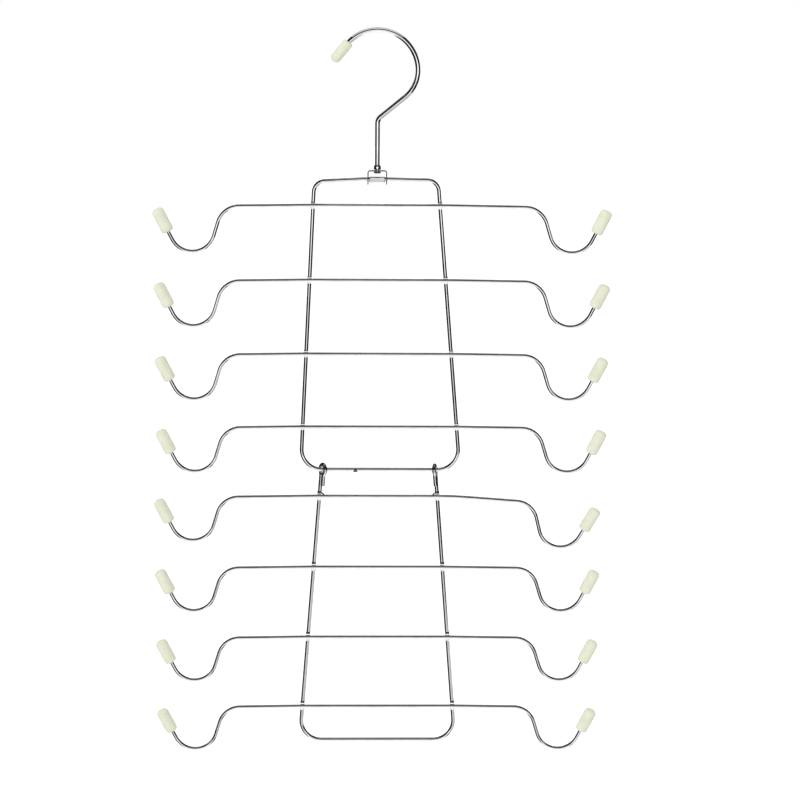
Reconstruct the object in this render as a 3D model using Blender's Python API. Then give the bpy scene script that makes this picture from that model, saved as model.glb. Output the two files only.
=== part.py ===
"""Multi-layer folding hanger: two wire frames, eight formed arms and a swivel hook.

The hanger is modelled as it hangs from a rail. The origin is the point of the hook that
rests on the rail, +Z is up, +X is to the right and -Y is towards the viewer. All lengths
are in metres and all angles are in degrees.

How the pieces hold each other, from the top down:
  The hook's foot passes through the bracket's top plate, between a collar and a head.
  The bracket's two ears run on the top wire of the upper frame.
  The lower frame's wire ends are formed to eyes that run on the upper frame's bottom wire.
  The arms are welded to the front of the frames, and each wire end wears a soft tip.
"""

import math

import bmesh
import bpy
from mathutils import Matrix, Vector

MM = 0.001

# Wires, and the gap between pieces that touch or run in each other
HOOK_WIRE = 3.0 * MM
FRAME_WIRE = 2.5 * MM
ARM_WIRE = 2.3 * MM
SEAT_GAP = 0.3 * MM

# Hook: an arc over the rail, which is tighter in the throat, a slanting neck and an upright
# stem. Its angles go up from +X round the arc, and its height is measured from its highest
# point down to the axis of the upper frame's top wire.
HOOK_INSIDE_RADIUS = 23.0 * MM
HOOK_TIP_ANGLE = 134.0
HOOK_TIP_BEND = 6.0
HOOK_TIP_BEND_RADIUS = 8.0 * MM
HOOK_THROAT_ANGLE = 7.0
HOOK_THROAT_INSIDE_RADIUS = 19.3 * MM
HOOK_NECK_ANGLE = -51.0
HOOK_NECK_BEND_RADIUS = 5.0 * MM
HOOK_HEIGHT = 91.75 * MM

# Foot of the hook: the collar above the bracket's plate, the neck in it, the head below it
COLLAR_DIAMETER = 4.5 * MM
COLLAR_HEIGHT = 2.5 * MM
COLLAR_ROUNDING = 0.7 * MM
RIVET_NECK_DIAMETER = 2.6 * MM
RIVET_HEAD_DIAMETER = 4.4 * MM
RIVET_HEAD_HEIGHT = 1.1 * MM
SHOULDER_STEP = 0.05 * MM

# Bracket: one strap of sheet, bent to a plate with two ears
BRACKET_WIDTH = 12.2 * MM
BRACKET_STRAP = 6.6 * MM
BRACKET_SHEET = 0.8 * MM
BRACKET_RISE = 5.75 * MM
BRACKET_BEND_RADIUS = 1.6 * MM

# Both frames widen downwards to the same width. They are measured to the wire's centreline,
# and their widths are those of the sharp corners, before the bends round them off.
FRAME_BOTTOM_WIDTH = 100.2 * MM
FRAME_BOTTOM_BEND_RADIUS = 13.0 * MM

# Upper frame: a closed loop. Its top wire is level through the bracket and falls beyond it.
UPPER_HEIGHT = 182.4 * MM
UPPER_TOP_WIDTH = 76.1 * MM
UPPER_TOP_BEND_RADIUS = 7.0 * MM
TOP_WIRE_LEVEL_BESIDE_BRACKET = 2.0 * MM
TOP_WIRE_FALL_RADIUS = 60.0 * MM
TOP_WIRE_FALL_LEFT = 3.0
TOP_WIRE_FALL_RIGHT = 1.3

# Lower frame: a U with an eye at the top of each leg, which leans inwards towards its tail
LOWER_HEIGHT = 179.0 * MM
LOWER_TOP_WIDTH = 71.7 * MM
LEFT_EYE_LEAN = 30.0
RIGHT_EYE_LEAN = 12.0
EYE_THROAT_RADIUS = 3.0 * MM
EYE_TAIL_DROP = 10.0 * MM
EYE_TAIL_GAP = 0.2 * MM

# How far the middle of each piece lies to the right of the hook's axis
TOP_WIRE_SIDE = -0.65 * MM
HINGE_WIRE_SIDE = 2.7 * MM
LOWER_FRAME_SIDE = 1.6 * MM
UPPER_ARMS_SIDE = 3.35 * MM
LOWER_ARMS_SIDE = 1.35 * MM

# Tiers of arms
ARMS_PER_FRAME = 4
TIER_PITCH = 46.2 * MM
FIRST_TIER_DROP = 16.0 * MM
FIFTH_TIER_DROP = 17.0 * MM

# One arm: a straight bar whose ends drop over a shoulder into a dip for straps
BAR_STRAIGHT = 176.0 * MM
SHOULDER_RADIUS = 14.0 * MM
SHOULDER_TURN = 72.0
SHANK_LENGTH = 8.8 * MM
DIP_RADIUS = 13.8 * MM
TIP_LEAN = 26.0
BARE_WIRE_BELOW_TIP = 5.0 * MM

# Beyond the frame's legs a bar droops a little, and the right end of the fifth arm more
ARM_DROOP = 0.8
BENT_TIER = 5
BENT_ARM_DROOP = 4.3
DROOP_RADIUS = 250.0 * MM

# Tips: how much of its radius a tip's closed end rounds off, and how far a wire reaches in
HOOK_TIP_DIAMETER = 6.3 * MM
HOOK_TIP_LENGTH = 14.8 * MM
HOOK_TIP_END_ROUNDING = 0.88
ARM_TIP_DIAMETER = 7.8 * MM
ARM_TIP_LENGTH = 16.0 * MM
ARM_TIP_END_ROUNDING = 0.7
TIP_MOUTH_CHAMFER = 0.9 * MM
TIP_GRIP = 11.0 * MM

# Fineness of the round shapes
BEND_STEP = 11.0
HOOK_BEND_STEP = 8.0
HOOK_SIDES_RESOLUTION = 4
FRAME_SIDES_RESOLUTION = 3
ARM_SIDES_RESOLUTION = 2
TIP_SIDES = 12
TIP_END_STEPS = 4
EAR_END_STEPS = 12
BRACKET_BEND_STEPS = 4
HOLE_SIDES = 24
CUTTER_OVERLAP = 1.0 * MM

RIGHT_ANGLE = 90.0
TO_THE_RIGHT = Vector((1, 0, 0))
UP = Vector((0, 0, 1))
TO_THE_VIEWER = Vector((0, -1, 0))

# Heights of the axes, from the rail seat
HOOK_CENTRE_Z = -HOOK_INSIDE_RADIUS
TOP_WIRE_Z = HOOK_WIRE - HOOK_HEIGHT
PLATE_TOP_Z = TOP_WIRE_Z + BRACKET_RISE
HINGE_WIRE_Z = -UPPER_HEIGHT

# Centreline radii and offsets that follow from the wires
HOOK_RADIUS = HOOK_INSIDE_RADIUS + HOOK_WIRE / 2
HOOK_THROAT_RADIUS = HOOK_THROAT_INSIDE_RADIUS + HOOK_WIRE / 2
ARM_STAND_OFF = (FRAME_WIRE + ARM_WIRE) / 2 + SEAT_GAP
LEG_SET_BACK = (FRAME_WIRE + EYE_TAIL_GAP) / 2


class WirePath:
    """The centreline of a formed wire, drawn by walking along it."""

    def __init__(self, start, heading):
        self.place = Vector(start)
        self.heading = Vector(heading).normalized()
        self.points = [self.place.copy()]

    def straight(self, length):
        """Walk straight on."""
        self.place = self.place + self.heading * length
        self.points.append(self.place.copy())

    def bend(self, radius, degrees, axis, step=BEND_STEP):
        """Walk round an arc, turning by the right-hand rule about the axis."""
        axis = axis.normalized()
        centre = self.place + axis.cross(self.heading) * math.copysign(radius, degrees)
        spoke = self.place - centre
        steps = math.ceil(abs(degrees) / step)
        for count in range(1, steps + 1):
            turned = Matrix.Rotation(math.radians(degrees * count / steps), 3, axis)
            self.points.append(centre + turned @ spoke)
        self.place = self.points[-1].copy()
        self.heading = Matrix.Rotation(math.radians(degrees), 3, axis) @ self.heading


def clear_scene():
    """Remove every object of the open scene."""
    for item in list(bpy.data.objects):
        bpy.data.objects.remove(item, do_unlink=True)


def make_material(name, colour, roughness, metallic):
    """Make a plain material from its colour, roughness and metallic value."""
    material = bpy.data.materials.new(name)
    material.use_nodes = True
    shader = material.node_tree.nodes["Principled BSDF"]
    shader.inputs["Base Color"].default_value = (*colour, 1.0)
    shader.inputs["Roughness"].default_value = roughness
    shader.inputs["Metallic"].default_value = metallic
    return material


def add_object(name, data, parent=None, location=(0, 0, 0)):
    """Link an object of this name to the scene, at a place in its parent's space."""
    item = bpy.data.objects.new(name, data)
    bpy.context.scene.collection.objects.link(item)
    item.parent = parent
    item.location = location
    return item


def wire_curve(name, points, diameter, resolution, material, radii=None, closed=False):
    """Make a wire along its points; radii, where given, are the radius at each point."""
    curve = bpy.data.curves.new(name, "CURVE")
    curve.dimensions = "3D"
    curve.twist_mode = "MINIMUM"
    curve.bevel_depth = diameter / 2
    curve.bevel_resolution = resolution
    curve.use_fill_caps = not closed
    curve.render_resolution_u = 0
    spline = curve.splines.new("POLY")
    spline.points.add(len(points) - 1)
    spline.use_cyclic_u = closed
    for index, (knot, place) in enumerate(zip(spline.points, points)):
        knot.co = (*place, 1.0)
        if radii:
            knot.radius = radii[index] / curve.bevel_depth
    curve.materials.append(material)
    return curve


def mirrored(points):
    """Mirror points from right to left."""
    return [Vector((-place.x, place.y, place.z)) for place in points]


def joined(left_half, right_half):
    """Join two halves, both drawn from the middle to the right, and mirror the left one."""
    return mirrored(left_half[:0:-1]) + right_half


def corner_trim(radius, turn):
    """How far a bend starts before the sharp corner that it rounds off."""
    return radius * math.tan(math.radians(turn) / 2)


def walk_corners(start, corners, end):
    """Walk towards the end past sharp corners, and round each off with its bend radius."""
    places = [Vector(start), *(Vector(corner) for corner, radius in corners), Vector(end)]
    headings = [(after - before).normalized() for before, after in zip(places, places[1:])]
    path = WirePath(start, headings[0])
    for (corner, radius), before, after in zip(corners, headings, headings[1:]):
        sideways = TO_THE_VIEWER.dot(before.cross(after))
        turn = math.degrees(math.atan2(sideways, before.dot(after)))
        to_corner = (Vector(corner) - path.place).length
        path.straight(to_corner - corner_trim(radius, abs(turn)))
        path.bend(radius, turn, TO_THE_VIEWER)
    return path


def half_width(top_width, bottom_width, height, drop):
    """Half a frame's width, this far below its top."""
    return (top_width + (bottom_width - top_width) * drop / height) / 2


def hook_path():
    """Walk the hook from the end inside its tip, over the rail and down to the neck bend."""
    tip_angle = math.radians(HOOK_TIP_ANGLE)
    spoke = Vector((math.cos(tip_angle), 0, math.sin(tip_angle)))
    arc_start = Vector((0, 0, HOOK_CENTRE_Z)) + spoke * HOOK_RADIUS
    towards_tip = TO_THE_VIEWER.cross(spoke)

    free_end = WirePath(arc_start, towards_tip)
    free_end.bend(HOOK_TIP_BEND_RADIUS, HOOK_TIP_BEND, TO_THE_VIEWER, HOOK_BEND_STEP)
    free_end.straight(TIP_GRIP)

    path = WirePath(arc_start, -towards_tip)
    arc_turn = HOOK_THROAT_ANGLE - HOOK_TIP_ANGLE
    throat_turn = HOOK_NECK_ANGLE - HOOK_THROAT_ANGLE
    neck_turn = -HOOK_NECK_ANGLE
    path.bend(HOOK_RADIUS, arc_turn, TO_THE_VIEWER, HOOK_BEND_STEP)
    path.bend(HOOK_THROAT_RADIUS, throat_turn, TO_THE_VIEWER, HOOK_BEND_STEP)
    to_axis = -path.place.x / path.heading.x
    path.straight(to_axis - corner_trim(HOOK_NECK_BEND_RADIUS, neck_turn))
    path.bend(HOOK_NECK_BEND_RADIUS, neck_turn, TO_THE_VIEWER, HOOK_BEND_STEP)
    path.points = free_end.points[:0:-1] + path.points
    return path


def foot_profile():
    """Heights and radii of the hook's foot, from the stem down to the rivet head."""
    collar_bottom = PLATE_TOP_Z + SEAT_GAP
    collar_top = collar_bottom + COLLAR_HEIGHT
    collar = COLLAR_DIAMETER / 2
    neck = RIVET_NECK_DIAMETER / 2
    head = RIVET_HEAD_DIAMETER / 2
    head_top = PLATE_TOP_Z - BRACKET_SHEET - SEAT_GAP
    head_bottom = head_top - RIVET_HEAD_HEIGHT
    return [
        (collar_top, HOOK_WIRE / 2),
        (collar_top - COLLAR_ROUNDING / 3, collar - COLLAR_ROUNDING / 2),
        (collar_top - COLLAR_ROUNDING, collar),
        (collar_bottom + COLLAR_ROUNDING / 3, collar),
        (collar_bottom, collar - COLLAR_ROUNDING / 3),
        (collar_bottom - SHOULDER_STEP, neck),
        (head_top + SHOULDER_STEP, neck),
        (head_top, head),
        (head_top - RIVET_HEAD_HEIGHT / 2, head),
        (head_bottom, head / 2),
    ]


def add_hook(material):
    """Add the hook wire, with its collar and rivet head formed on the lower end."""
    path = hook_path()
    radii = [HOOK_WIRE / 2] * len(path.points)
    for height, radius in foot_profile():
        path.points.append(Vector((0, 0, height)))
        radii.append(radius)
    curve = wire_curve("hook_wire", path.points, HOOK_WIRE, HOOK_SIDES_RESOLUTION, material, radii)
    return add_object("hook_wire", curve)


def tip_profile(wire_diameter, diameter, length, end_rounding):
    """Radius and height along a tip, from the socket's floor round to the closed end."""
    outer = diameter / 2
    end_radius = outer * end_rounding
    socket = wire_diameter / 2 + SEAT_GAP
    floor = TIP_GRIP + SEAT_GAP
    profile = [
        (0.0, floor),
        (socket, floor),
        (socket, 0.0),
        (outer - TIP_MOUTH_CHAMFER, 0.0),
        (outer, TIP_MOUTH_CHAMFER),
    ]
    for count in range(TIP_END_STEPS + 1):
        angle = math.pi / 2 * count / TIP_END_STEPS
        radius = outer - end_radius * (1 - math.cos(angle))
        height = length - end_radius * (1 - math.sin(angle))
        profile.append((radius, height))
    profile.append((0.0, length))
    return profile


def tip_mesh(name, profile, material):
    """Turn a tip's profile round its axis to a closed cap with a blind socket."""
    shape = bmesh.new()
    knots = [shape.verts.new((radius, 0, height)) for radius, height in profile]
    edges = [shape.edges.new(pair) for pair in zip(knots, knots[1:])]
    bmesh.ops.spin(
        shape, geom=knots + edges, cent=(0, 0, 0), axis=UP,
        angle=math.tau, steps=TIP_SIDES, use_merge=True,
    )
    bmesh.ops.remove_doubles(shape, verts=shape.verts, dist=0.001 * MM)
    bmesh.ops.recalc_face_normals(shape, faces=shape.faces)
    mesh = bpy.data.meshes.new(name)
    shape.to_mesh(mesh)
    shape.free()
    mesh.shade_smooth()
    mesh.set_sharp_from_angle(angle=math.radians(40))
    mesh.materials.append(material)
    return mesh


def add_tip(name, mesh, parent, mouth, heading):
    """Push a tip onto a wire end that leaves the dip at the mouth with this heading."""
    tip = add_object(name, mesh, parent, mouth)
    tip.rotation_mode = "QUATERNION"
    tip.rotation_quaternion = UP.rotation_difference(heading)
    return tip


def strap_rows():
    """Centreline of the bracket's strap, from the left ear over the plate to the right ear."""
    ear = (BRACKET_WIDTH - BRACKET_SHEET) / 2
    plate = BRACKET_RISE - BRACKET_SHEET / 2
    radius = BRACKET_BEND_RADIUS - BRACKET_SHEET / 2
    left = [(-ear, 0.0)]
    for count in range(BRACKET_BEND_STEPS + 1):
        angle = math.pi / 2 * count / BRACKET_BEND_STEPS
        across = -ear + radius * (1 - math.cos(angle))
        height = plate - radius * (1 - math.sin(angle))
        left.append((across, height))
    return left + [(-across, height) for across, height in reversed(left)]


def strap_mesh(material):
    """Lay the strap's middle surface, with a round end on each ear."""
    shape = bmesh.new()
    half = BRACKET_STRAP / 2
    rows = []
    for across, height in strap_rows():
        front = shape.verts.new((across, -half, height))
        back = shape.verts.new((across, half, height))
        rows.append((front, back))
    for (front, back), (next_front, next_back) in zip(rows, rows[1:]):
        shape.faces.new((front, next_front, next_back, back))
    for front, back in (rows[0], rows[-1]):
        end = [back]
        for count in range(1, EAR_END_STEPS):
            angle = math.pi * count / EAR_END_STEPS
            end.append(shape.verts.new((front.co.x, half * math.cos(angle), -half * math.sin(angle))))
        end.append(front)
        shape.faces.new(end)
    bmesh.ops.recalc_face_normals(shape, faces=shape.faces)
    mesh = bpy.data.meshes.new("swivel_bracket")
    shape.to_mesh(mesh)
    shape.free()
    mesh.materials.append(material)
    return mesh


def add_cutter(name, parent, diameter, length, centre, axis):
    """Add a round cutter along an axis, which is left out of the finished part."""
    shape = bmesh.new()
    turn = UP.rotation_difference(axis).to_matrix().to_4x4()
    bmesh.ops.create_cone(
        shape, cap_ends=True, segments=HOLE_SIDES, radius1=diameter / 2,
        radius2=diameter / 2, depth=length, matrix=turn,
    )
    mesh = bpy.data.meshes.new(name)
    shape.to_mesh(mesh)
    shape.free()
    cutter = add_object(name, mesh, parent, centre)
    cutter.hide_render = True
    cutter.display_type = "WIRE"
    return cutter


def cut_with(item, cutter):
    """Cut a hole in an object."""
    cut = item.modifiers.new(cutter.name, "BOOLEAN")
    cut.operation = "DIFFERENCE"
    cut.solver = "EXACT"
    cut.object = cutter


def add_bracket(hinge, material):
    """Add the bracket: a strap with a hole for the hook's foot and one through both ears."""
    bracket = add_object("swivel_bracket", strap_mesh(material), hinge)
    wall = bracket.modifiers.new("sheet", "SOLIDIFY")
    wall.thickness = BRACKET_SHEET
    wall.offset = 0.0
    ear_hole = add_cutter(
        "ear_hole_cutter", hinge, FRAME_WIRE + 2 * SEAT_GAP, BRACKET_WIDTH + CUTTER_OVERLAP,
        (0, 0, 0), TO_THE_RIGHT,
    )
    foot_hole = add_cutter(
        "foot_hole_cutter", hinge, RIVET_NECK_DIAMETER + 2 * SEAT_GAP,
        BRACKET_SHEET + 2 * CUTTER_OVERLAP, (0, 0, BRACKET_RISE - BRACKET_SHEET / 2), UP,
    )
    cut_with(bracket, ear_hole)
    cut_with(bracket, foot_hole)
    return bracket


def upper_frame_half(top_reach, bottom_reach, fall):
    """Centreline of one half of the upper frame, from the top wire to the hinge wire.

    Both halves are drawn to the right of the hook's axis. The reaches are the distances of
    the sharp corners from it, and fall is the slope of the top wire beside the bracket.
    """
    level = BRACKET_WIDTH / 2 + TOP_WIRE_LEVEL_BESIDE_BRACKET
    top_drop = (top_reach - level) * math.tan(math.radians(fall))
    corners = [
        ((level, 0, 0), TOP_WIRE_FALL_RADIUS),
        ((top_reach, 0, -top_drop), UPPER_TOP_BEND_RADIUS),
        ((bottom_reach, 0, -UPPER_HEIGHT), FRAME_BOTTOM_BEND_RADIUS),
    ]
    return walk_corners((0, 0, 0), corners, (0, 0, -UPPER_HEIGHT)).points


def add_upper_frame(hinge, material):
    """Add the upper frame as one closed loop of wire."""
    top = UPPER_TOP_WIDTH / 2
    bottom = FRAME_BOTTOM_WIDTH / 2
    left = upper_frame_half(top - TOP_WIRE_SIDE, bottom - HINGE_WIRE_SIDE, TOP_WIRE_FALL_LEFT)
    right = upper_frame_half(top + TOP_WIRE_SIDE, bottom + HINGE_WIRE_SIDE, TOP_WIRE_FALL_RIGHT)
    points = joined(left, right[1:])
    curve = wire_curve(
        "upper_frame", points, FRAME_WIRE, FRAME_SIDES_RESOLUTION, material, closed=True,
    )
    return add_object("upper_frame", curve, hinge)


def lower_frame_half(eye_lean):
    """Centreline of one half of the lower frame: bottom bar, leg, eye and tail.

    The eye is a hairpin over the hinge wire. The leg comes up behind that wire, bulges
    round it and comes down in front as a short tail. Its plane leans a little inwards,
    so that the tail lies beside the leg.
    """
    corner = Vector((FRAME_BOTTOM_WIDTH / 2, LEG_SET_BACK, -LOWER_HEIGHT))
    leg_top = Vector((LOWER_TOP_WIDTH / 2, LEG_SET_BACK, 0))
    bar_middle = (0, LEG_SET_BACK, -LOWER_HEIGHT)
    path = walk_corners(bar_middle, [(corner, FRAME_BOTTOM_BEND_RADIUS)], leg_top)

    lean = math.radians(eye_lean)
    eye_radius = (FRAME_WIRE + SEAT_GAP) / math.cos(lean)
    half_pitch = LEG_SET_BACK / math.cos(lean)
    reach = eye_radius + EYE_THROAT_RADIUS
    across = half_pitch + EYE_THROAT_RADIUS
    throat_drop = math.sqrt(reach ** 2 - across ** 2)
    throat_turn = math.degrees(math.atan2(throat_drop, across))
    path.straight((leg_top - path.place).length - throat_drop)

    inwards = TO_THE_VIEWER.cross(path.heading)
    to_tail = TO_THE_VIEWER * math.cos(lean) + inwards * math.sin(lean)
    over_the_wire = path.heading.cross(to_tail)
    path.bend(EYE_THROAT_RADIUS, -throat_turn, over_the_wire)
    path.bend(eye_radius, 2 * (RIGHT_ANGLE + throat_turn), over_the_wire)
    path.bend(EYE_THROAT_RADIUS, -throat_turn, over_the_wire)
    path.straight(EYE_TAIL_DROP - throat_drop)
    return path.points


def add_lower_frame(hinge, material):
    """Add the lower frame, which hangs by its two eyes on the upper frame's bottom wire."""
    points = joined(lower_frame_half(LEFT_EYE_LEAN), lower_frame_half(RIGHT_EYE_LEAN))
    curve = wire_curve("lower_frame", points, FRAME_WIRE, FRAME_SIDES_RESOLUTION, material)
    return add_object("lower_frame", curve, hinge, (LOWER_FRAME_SIDE, 0, 0))


def arm_half(leg, droop):
    """Walk one half of an arm, from the middle of its bar to the end inside the tip.

    The bar is level as far as the frame's leg and droops by a small angle beyond it.
    """
    path = WirePath((0, 0, 0), TO_THE_RIGHT)
    path.straight(leg)
    path.bend(DROOP_RADIUS, -droop, TO_THE_VIEWER)
    path.straight(BAR_STRAIGHT / 2 - path.place.x)
    path.bend(SHOULDER_RADIUS, -SHOULDER_TURN, TO_THE_VIEWER)
    path.straight(SHANK_LENGTH)
    path.bend(DIP_RADIUS, SHOULDER_TURN + RIGHT_ANGLE - TIP_LEAN, TO_THE_VIEWER)
    path.straight(BARE_WIRE_BELOW_TIP)
    mouth = path.place.copy()
    path.straight(TIP_GRIP)
    return path, mouth


def add_arm(prefix, tier, hinge, place, leg, wire_material, mesh):
    """Add one arm and the tips on its two ends; leg is how far a frame's leg is from its middle."""
    right_droop = BENT_ARM_DROOP if tier == BENT_TIER else ARM_DROOP
    left, left_mouth = arm_half(leg, ARM_DROOP)
    right, right_mouth = arm_half(leg, right_droop)
    points = joined(left.points, right.points)
    name = f"{prefix}_arm_{tier}"
    curve = wire_curve(name, points, ARM_WIRE, ARM_SIDES_RESOLUTION, wire_material)
    add_object(name, curve, hinge, place)
    mouth, heading = mirrored((left_mouth, left.heading))
    add_tip(f"tip_{tier}_left", mesh, hinge, place + mouth, heading)
    add_tip(f"tip_{tier}_right", mesh, hinge, place + right_mouth, right.heading)


def add_arms(upper_hinge, lower_hinge, wire_material, tip_material):
    """Add the eight arms, four on each frame, numbered from the top."""
    profile = tip_profile(ARM_WIRE, ARM_TIP_DIAMETER, ARM_TIP_LENGTH, ARM_TIP_END_ROUNDING)
    mesh = tip_mesh("arm_tip", profile, tip_material)
    for row in range(ARMS_PER_FRAME):
        tier = row + 1
        drop = FIRST_TIER_DROP + row * TIER_PITCH
        leg = half_width(UPPER_TOP_WIDTH, FRAME_BOTTOM_WIDTH, UPPER_HEIGHT, drop)
        place = Vector((UPPER_ARMS_SIDE, -ARM_STAND_OFF, -drop))
        add_arm("upper", tier, upper_hinge, place, leg, wire_material, mesh)
    for row in range(ARMS_PER_FRAME):
        tier = ARMS_PER_FRAME + row + 1
        drop = FIFTH_TIER_DROP + row * TIER_PITCH
        leg = half_width(LOWER_TOP_WIDTH, FRAME_BOTTOM_WIDTH, LOWER_HEIGHT, drop)
        place = Vector((LOWER_ARMS_SIDE, LEG_SET_BACK - ARM_STAND_OFF, -drop))
        add_arm("lower", tier, lower_hinge, place, leg, wire_material, mesh)


def build_hanger():
    """Build the whole hanger, with an empty on each joint's axis."""
    clear_scene()
    chrome = (0.80, 0.80, 0.79)
    hook_chrome = make_material("hook_chrome", chrome, 0.08, 1.0)
    bracket_chrome = make_material("bracket_chrome", chrome, 0.15, 1.0)
    frame_chrome = make_material("frame_chrome", chrome, 0.10, 1.0)
    arm_chrome = make_material("arm_chrome", chrome, 0.10, 1.0)
    tip_vinyl = make_material("tip_vinyl", (0.76, 0.77, 0.62), 0.45, 0.0)

    add_hook(hook_chrome)
    hook = hook_path()
    profile = tip_profile(HOOK_WIRE, HOOK_TIP_DIAMETER, HOOK_TIP_LENGTH, HOOK_TIP_END_ROUNDING)
    hook_tip = tip_mesh("hook_end_tip", profile, tip_vinyl)
    outwards = (hook.points[0] - hook.points[1]).normalized()
    add_tip("hook_tip", hook_tip, None, hook.points[1], outwards)

    swivel_axis = add_object("swivel_axis", None, None, (0, 0, TOP_WIRE_Z))
    add_bracket(swivel_axis, bracket_chrome)

    frame_hinge = add_object("frame_hinge", None, swivel_axis)
    add_upper_frame(frame_hinge, frame_chrome)

    fold_hinge = add_object("fold_hinge", None, frame_hinge, (0, 0, HINGE_WIRE_Z))
    add_lower_frame(fold_hinge, frame_chrome)

    add_arms(frame_hinge, fold_hinge, arm_chrome, tip_vinyl)
    bpy.context.view_layer.update()


build_hanger()
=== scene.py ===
"""Looks of a multi-layer folding hanger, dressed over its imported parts.

Lengths are in metres and angles in degrees, in the hanger's own frame. The origin is the
point of the hook that rests on the rail, +Z is up, +X is to the right and -Y is towards the
viewer. Every wire is drawn from a round section with the sizes of the part's source, so each
piece lies on the part that it stands for.
"""

from __future__ import annotations

import logging
import math
from contextlib import contextmanager
from dataclasses import dataclass
from enum import Enum
from typing import Iterator, Sequence

import bpy
from mathutils import Matrix, Vector


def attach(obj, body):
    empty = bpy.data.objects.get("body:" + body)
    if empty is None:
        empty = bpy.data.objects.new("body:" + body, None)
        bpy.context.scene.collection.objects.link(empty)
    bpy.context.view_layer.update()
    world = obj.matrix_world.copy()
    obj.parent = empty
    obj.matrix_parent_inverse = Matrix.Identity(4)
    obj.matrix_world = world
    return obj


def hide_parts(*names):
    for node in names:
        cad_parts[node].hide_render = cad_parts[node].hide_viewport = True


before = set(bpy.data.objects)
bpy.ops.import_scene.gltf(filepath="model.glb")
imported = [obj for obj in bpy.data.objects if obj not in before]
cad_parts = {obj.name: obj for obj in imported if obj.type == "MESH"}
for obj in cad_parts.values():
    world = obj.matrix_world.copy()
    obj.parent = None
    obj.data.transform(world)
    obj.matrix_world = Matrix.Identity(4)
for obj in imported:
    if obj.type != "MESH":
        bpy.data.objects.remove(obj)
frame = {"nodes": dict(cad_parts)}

LOG = logging.getLogger("hanger")

MM = 0.001
TO_THE_RIGHT = Vector((1, 0, 0))
TO_THE_VIEWER = Vector((0, -1, 0))
UP = Vector((0, 0, 1))
RIGHT_ANGLE = 90.0

FORMED_CREASE = 32.0
ROUGH_CREASE = 60.0
SAME_POINT = 0.005 * MM
ROUND_PROFILE = 0.5
WHITE = (1.0, 1.0, 1.0, 1.0)

Colour = tuple[float, float, float]


class Body(Enum):
    """The moving bodies of the hanger."""

    HOOK = "hook"
    BRACKET = "bracket"
    UPPER_HALF = "upper_half"
    LOWER_HALF = "lower_half"


class Slot(Enum):
    """The record's material slots."""

    WIRE = "chrome_wire"
    SHEET = "plated_sheet"
    TIP = "ivory_tip"


class Side(Enum):
    """The two sides of the hanger, with the sign of their direction along X."""

    LEFT = -1
    RIGHT = 1

    @property
    def word(self) -> str:
        """The side's name in lower case."""
        return self.name.lower()


class Plating(Enum):
    """What shows through the plating of a surface."""

    DRAWN_WIRE = "fine lines along the wire"
    PLAIN_METAL = "a fine grain all over"


def deselect_all() -> None:
    """Leave no object selected, so that an operator acts on the new piece alone."""
    bpy.ops.object.select_all(action="DESELECT")


@contextmanager
def editing(item: bpy.types.Object) -> Iterator[None]:
    """Open one object in edit mode.

    Args:
        item: The object to work on.
    """
    deselect_all()
    item.select_set(True)
    bpy.context.view_layer.objects.active = item
    bpy.ops.object.mode_set(mode="EDIT")
    yield
    bpy.ops.object.mode_set(mode="OBJECT")


def new_primitive(name: str) -> bpy.types.Object:
    """Name the primitive just added and move its place into its mesh.

    Args:
        name: The name of the piece.

    Returns:
        The new object.
    """
    item = bpy.context.object
    item.name = name
    item.data.name = name
    bpy.ops.object.transform_apply(location=True, rotation=True, scale=True)
    return item


def apply_modifiers(item: bpy.types.Object) -> None:
    """Apply every modifier of an object, in order.

    Args:
        item: The object whose modifiers are applied.
    """
    deselect_all()
    item.select_set(True)
    bpy.context.view_layer.objects.active = item
    for name in [modifier.name for modifier in item.modifiers]:
        bpy.ops.object.modifier_apply(modifier=name)


def close_shell(item: bpy.types.Object, crease: float = FORMED_CREASE) -> None:
    """Merge a piece's doubled points, turn its faces outwards and smooth its shading.

    Args:
        item: The piece.
        crease: The angle in degrees from which an edge stays sharp.
    """
    with editing(item):
        bpy.ops.mesh.select_all(action="SELECT")
        bpy.ops.mesh.remove_doubles(threshold=SAME_POINT)
        bpy.ops.mesh.normals_make_consistent(inside=False)
    bpy.ops.object.shade_smooth_by_angle(angle=math.radians(crease))


def join_pieces(name: str, items: Sequence[bpy.types.Object]) -> bpy.types.Object:
    """Join objects to one.

    Args:
        name: The name of the joined piece.
        items: The objects to join; the first one takes in the others.

    Returns:
        The joined object.
    """
    deselect_all()
    for item in items:
        item.select_set(True)
    bpy.context.view_layer.objects.active = items[0]
    bpy.ops.object.join()
    joined = bpy.context.object
    joined.name = name
    joined.data.name = name
    return joined


def copy_to(item: bpy.types.Object, name: str, placing: Matrix) -> bpy.types.Object:
    """Copy a piece, with its own mesh, and move the mesh to its place.

    Args:
        item: The piece that is modelled at the origin.
        name: The copy's name.
        placing: Where the copy goes.

    Returns:
        The copy.
    """
    copy = item.copy()
    copy.data = item.data.copy()
    copy.name = name
    copy.data.name = name
    copy.data.transform(placing)
    bpy.context.scene.collection.objects.link(copy)
    return copy


def corner_trim(radius: float, turn: float) -> float:
    """Find how far a bend starts before the sharp corner that it rounds off.

    Args:
        radius: The bend's radius.
        turn: The change of direction in degrees.

    Returns:
        The distance from the start of the bend to the corner.
    """
    return radius * math.tan(math.radians(turn) / 2)


def turned(degrees: float, axis: str) -> Matrix:
    """Make the placing that turns by an angle about a named axis."""
    return Matrix.Rotation(math.radians(degrees), 4, axis)


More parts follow.
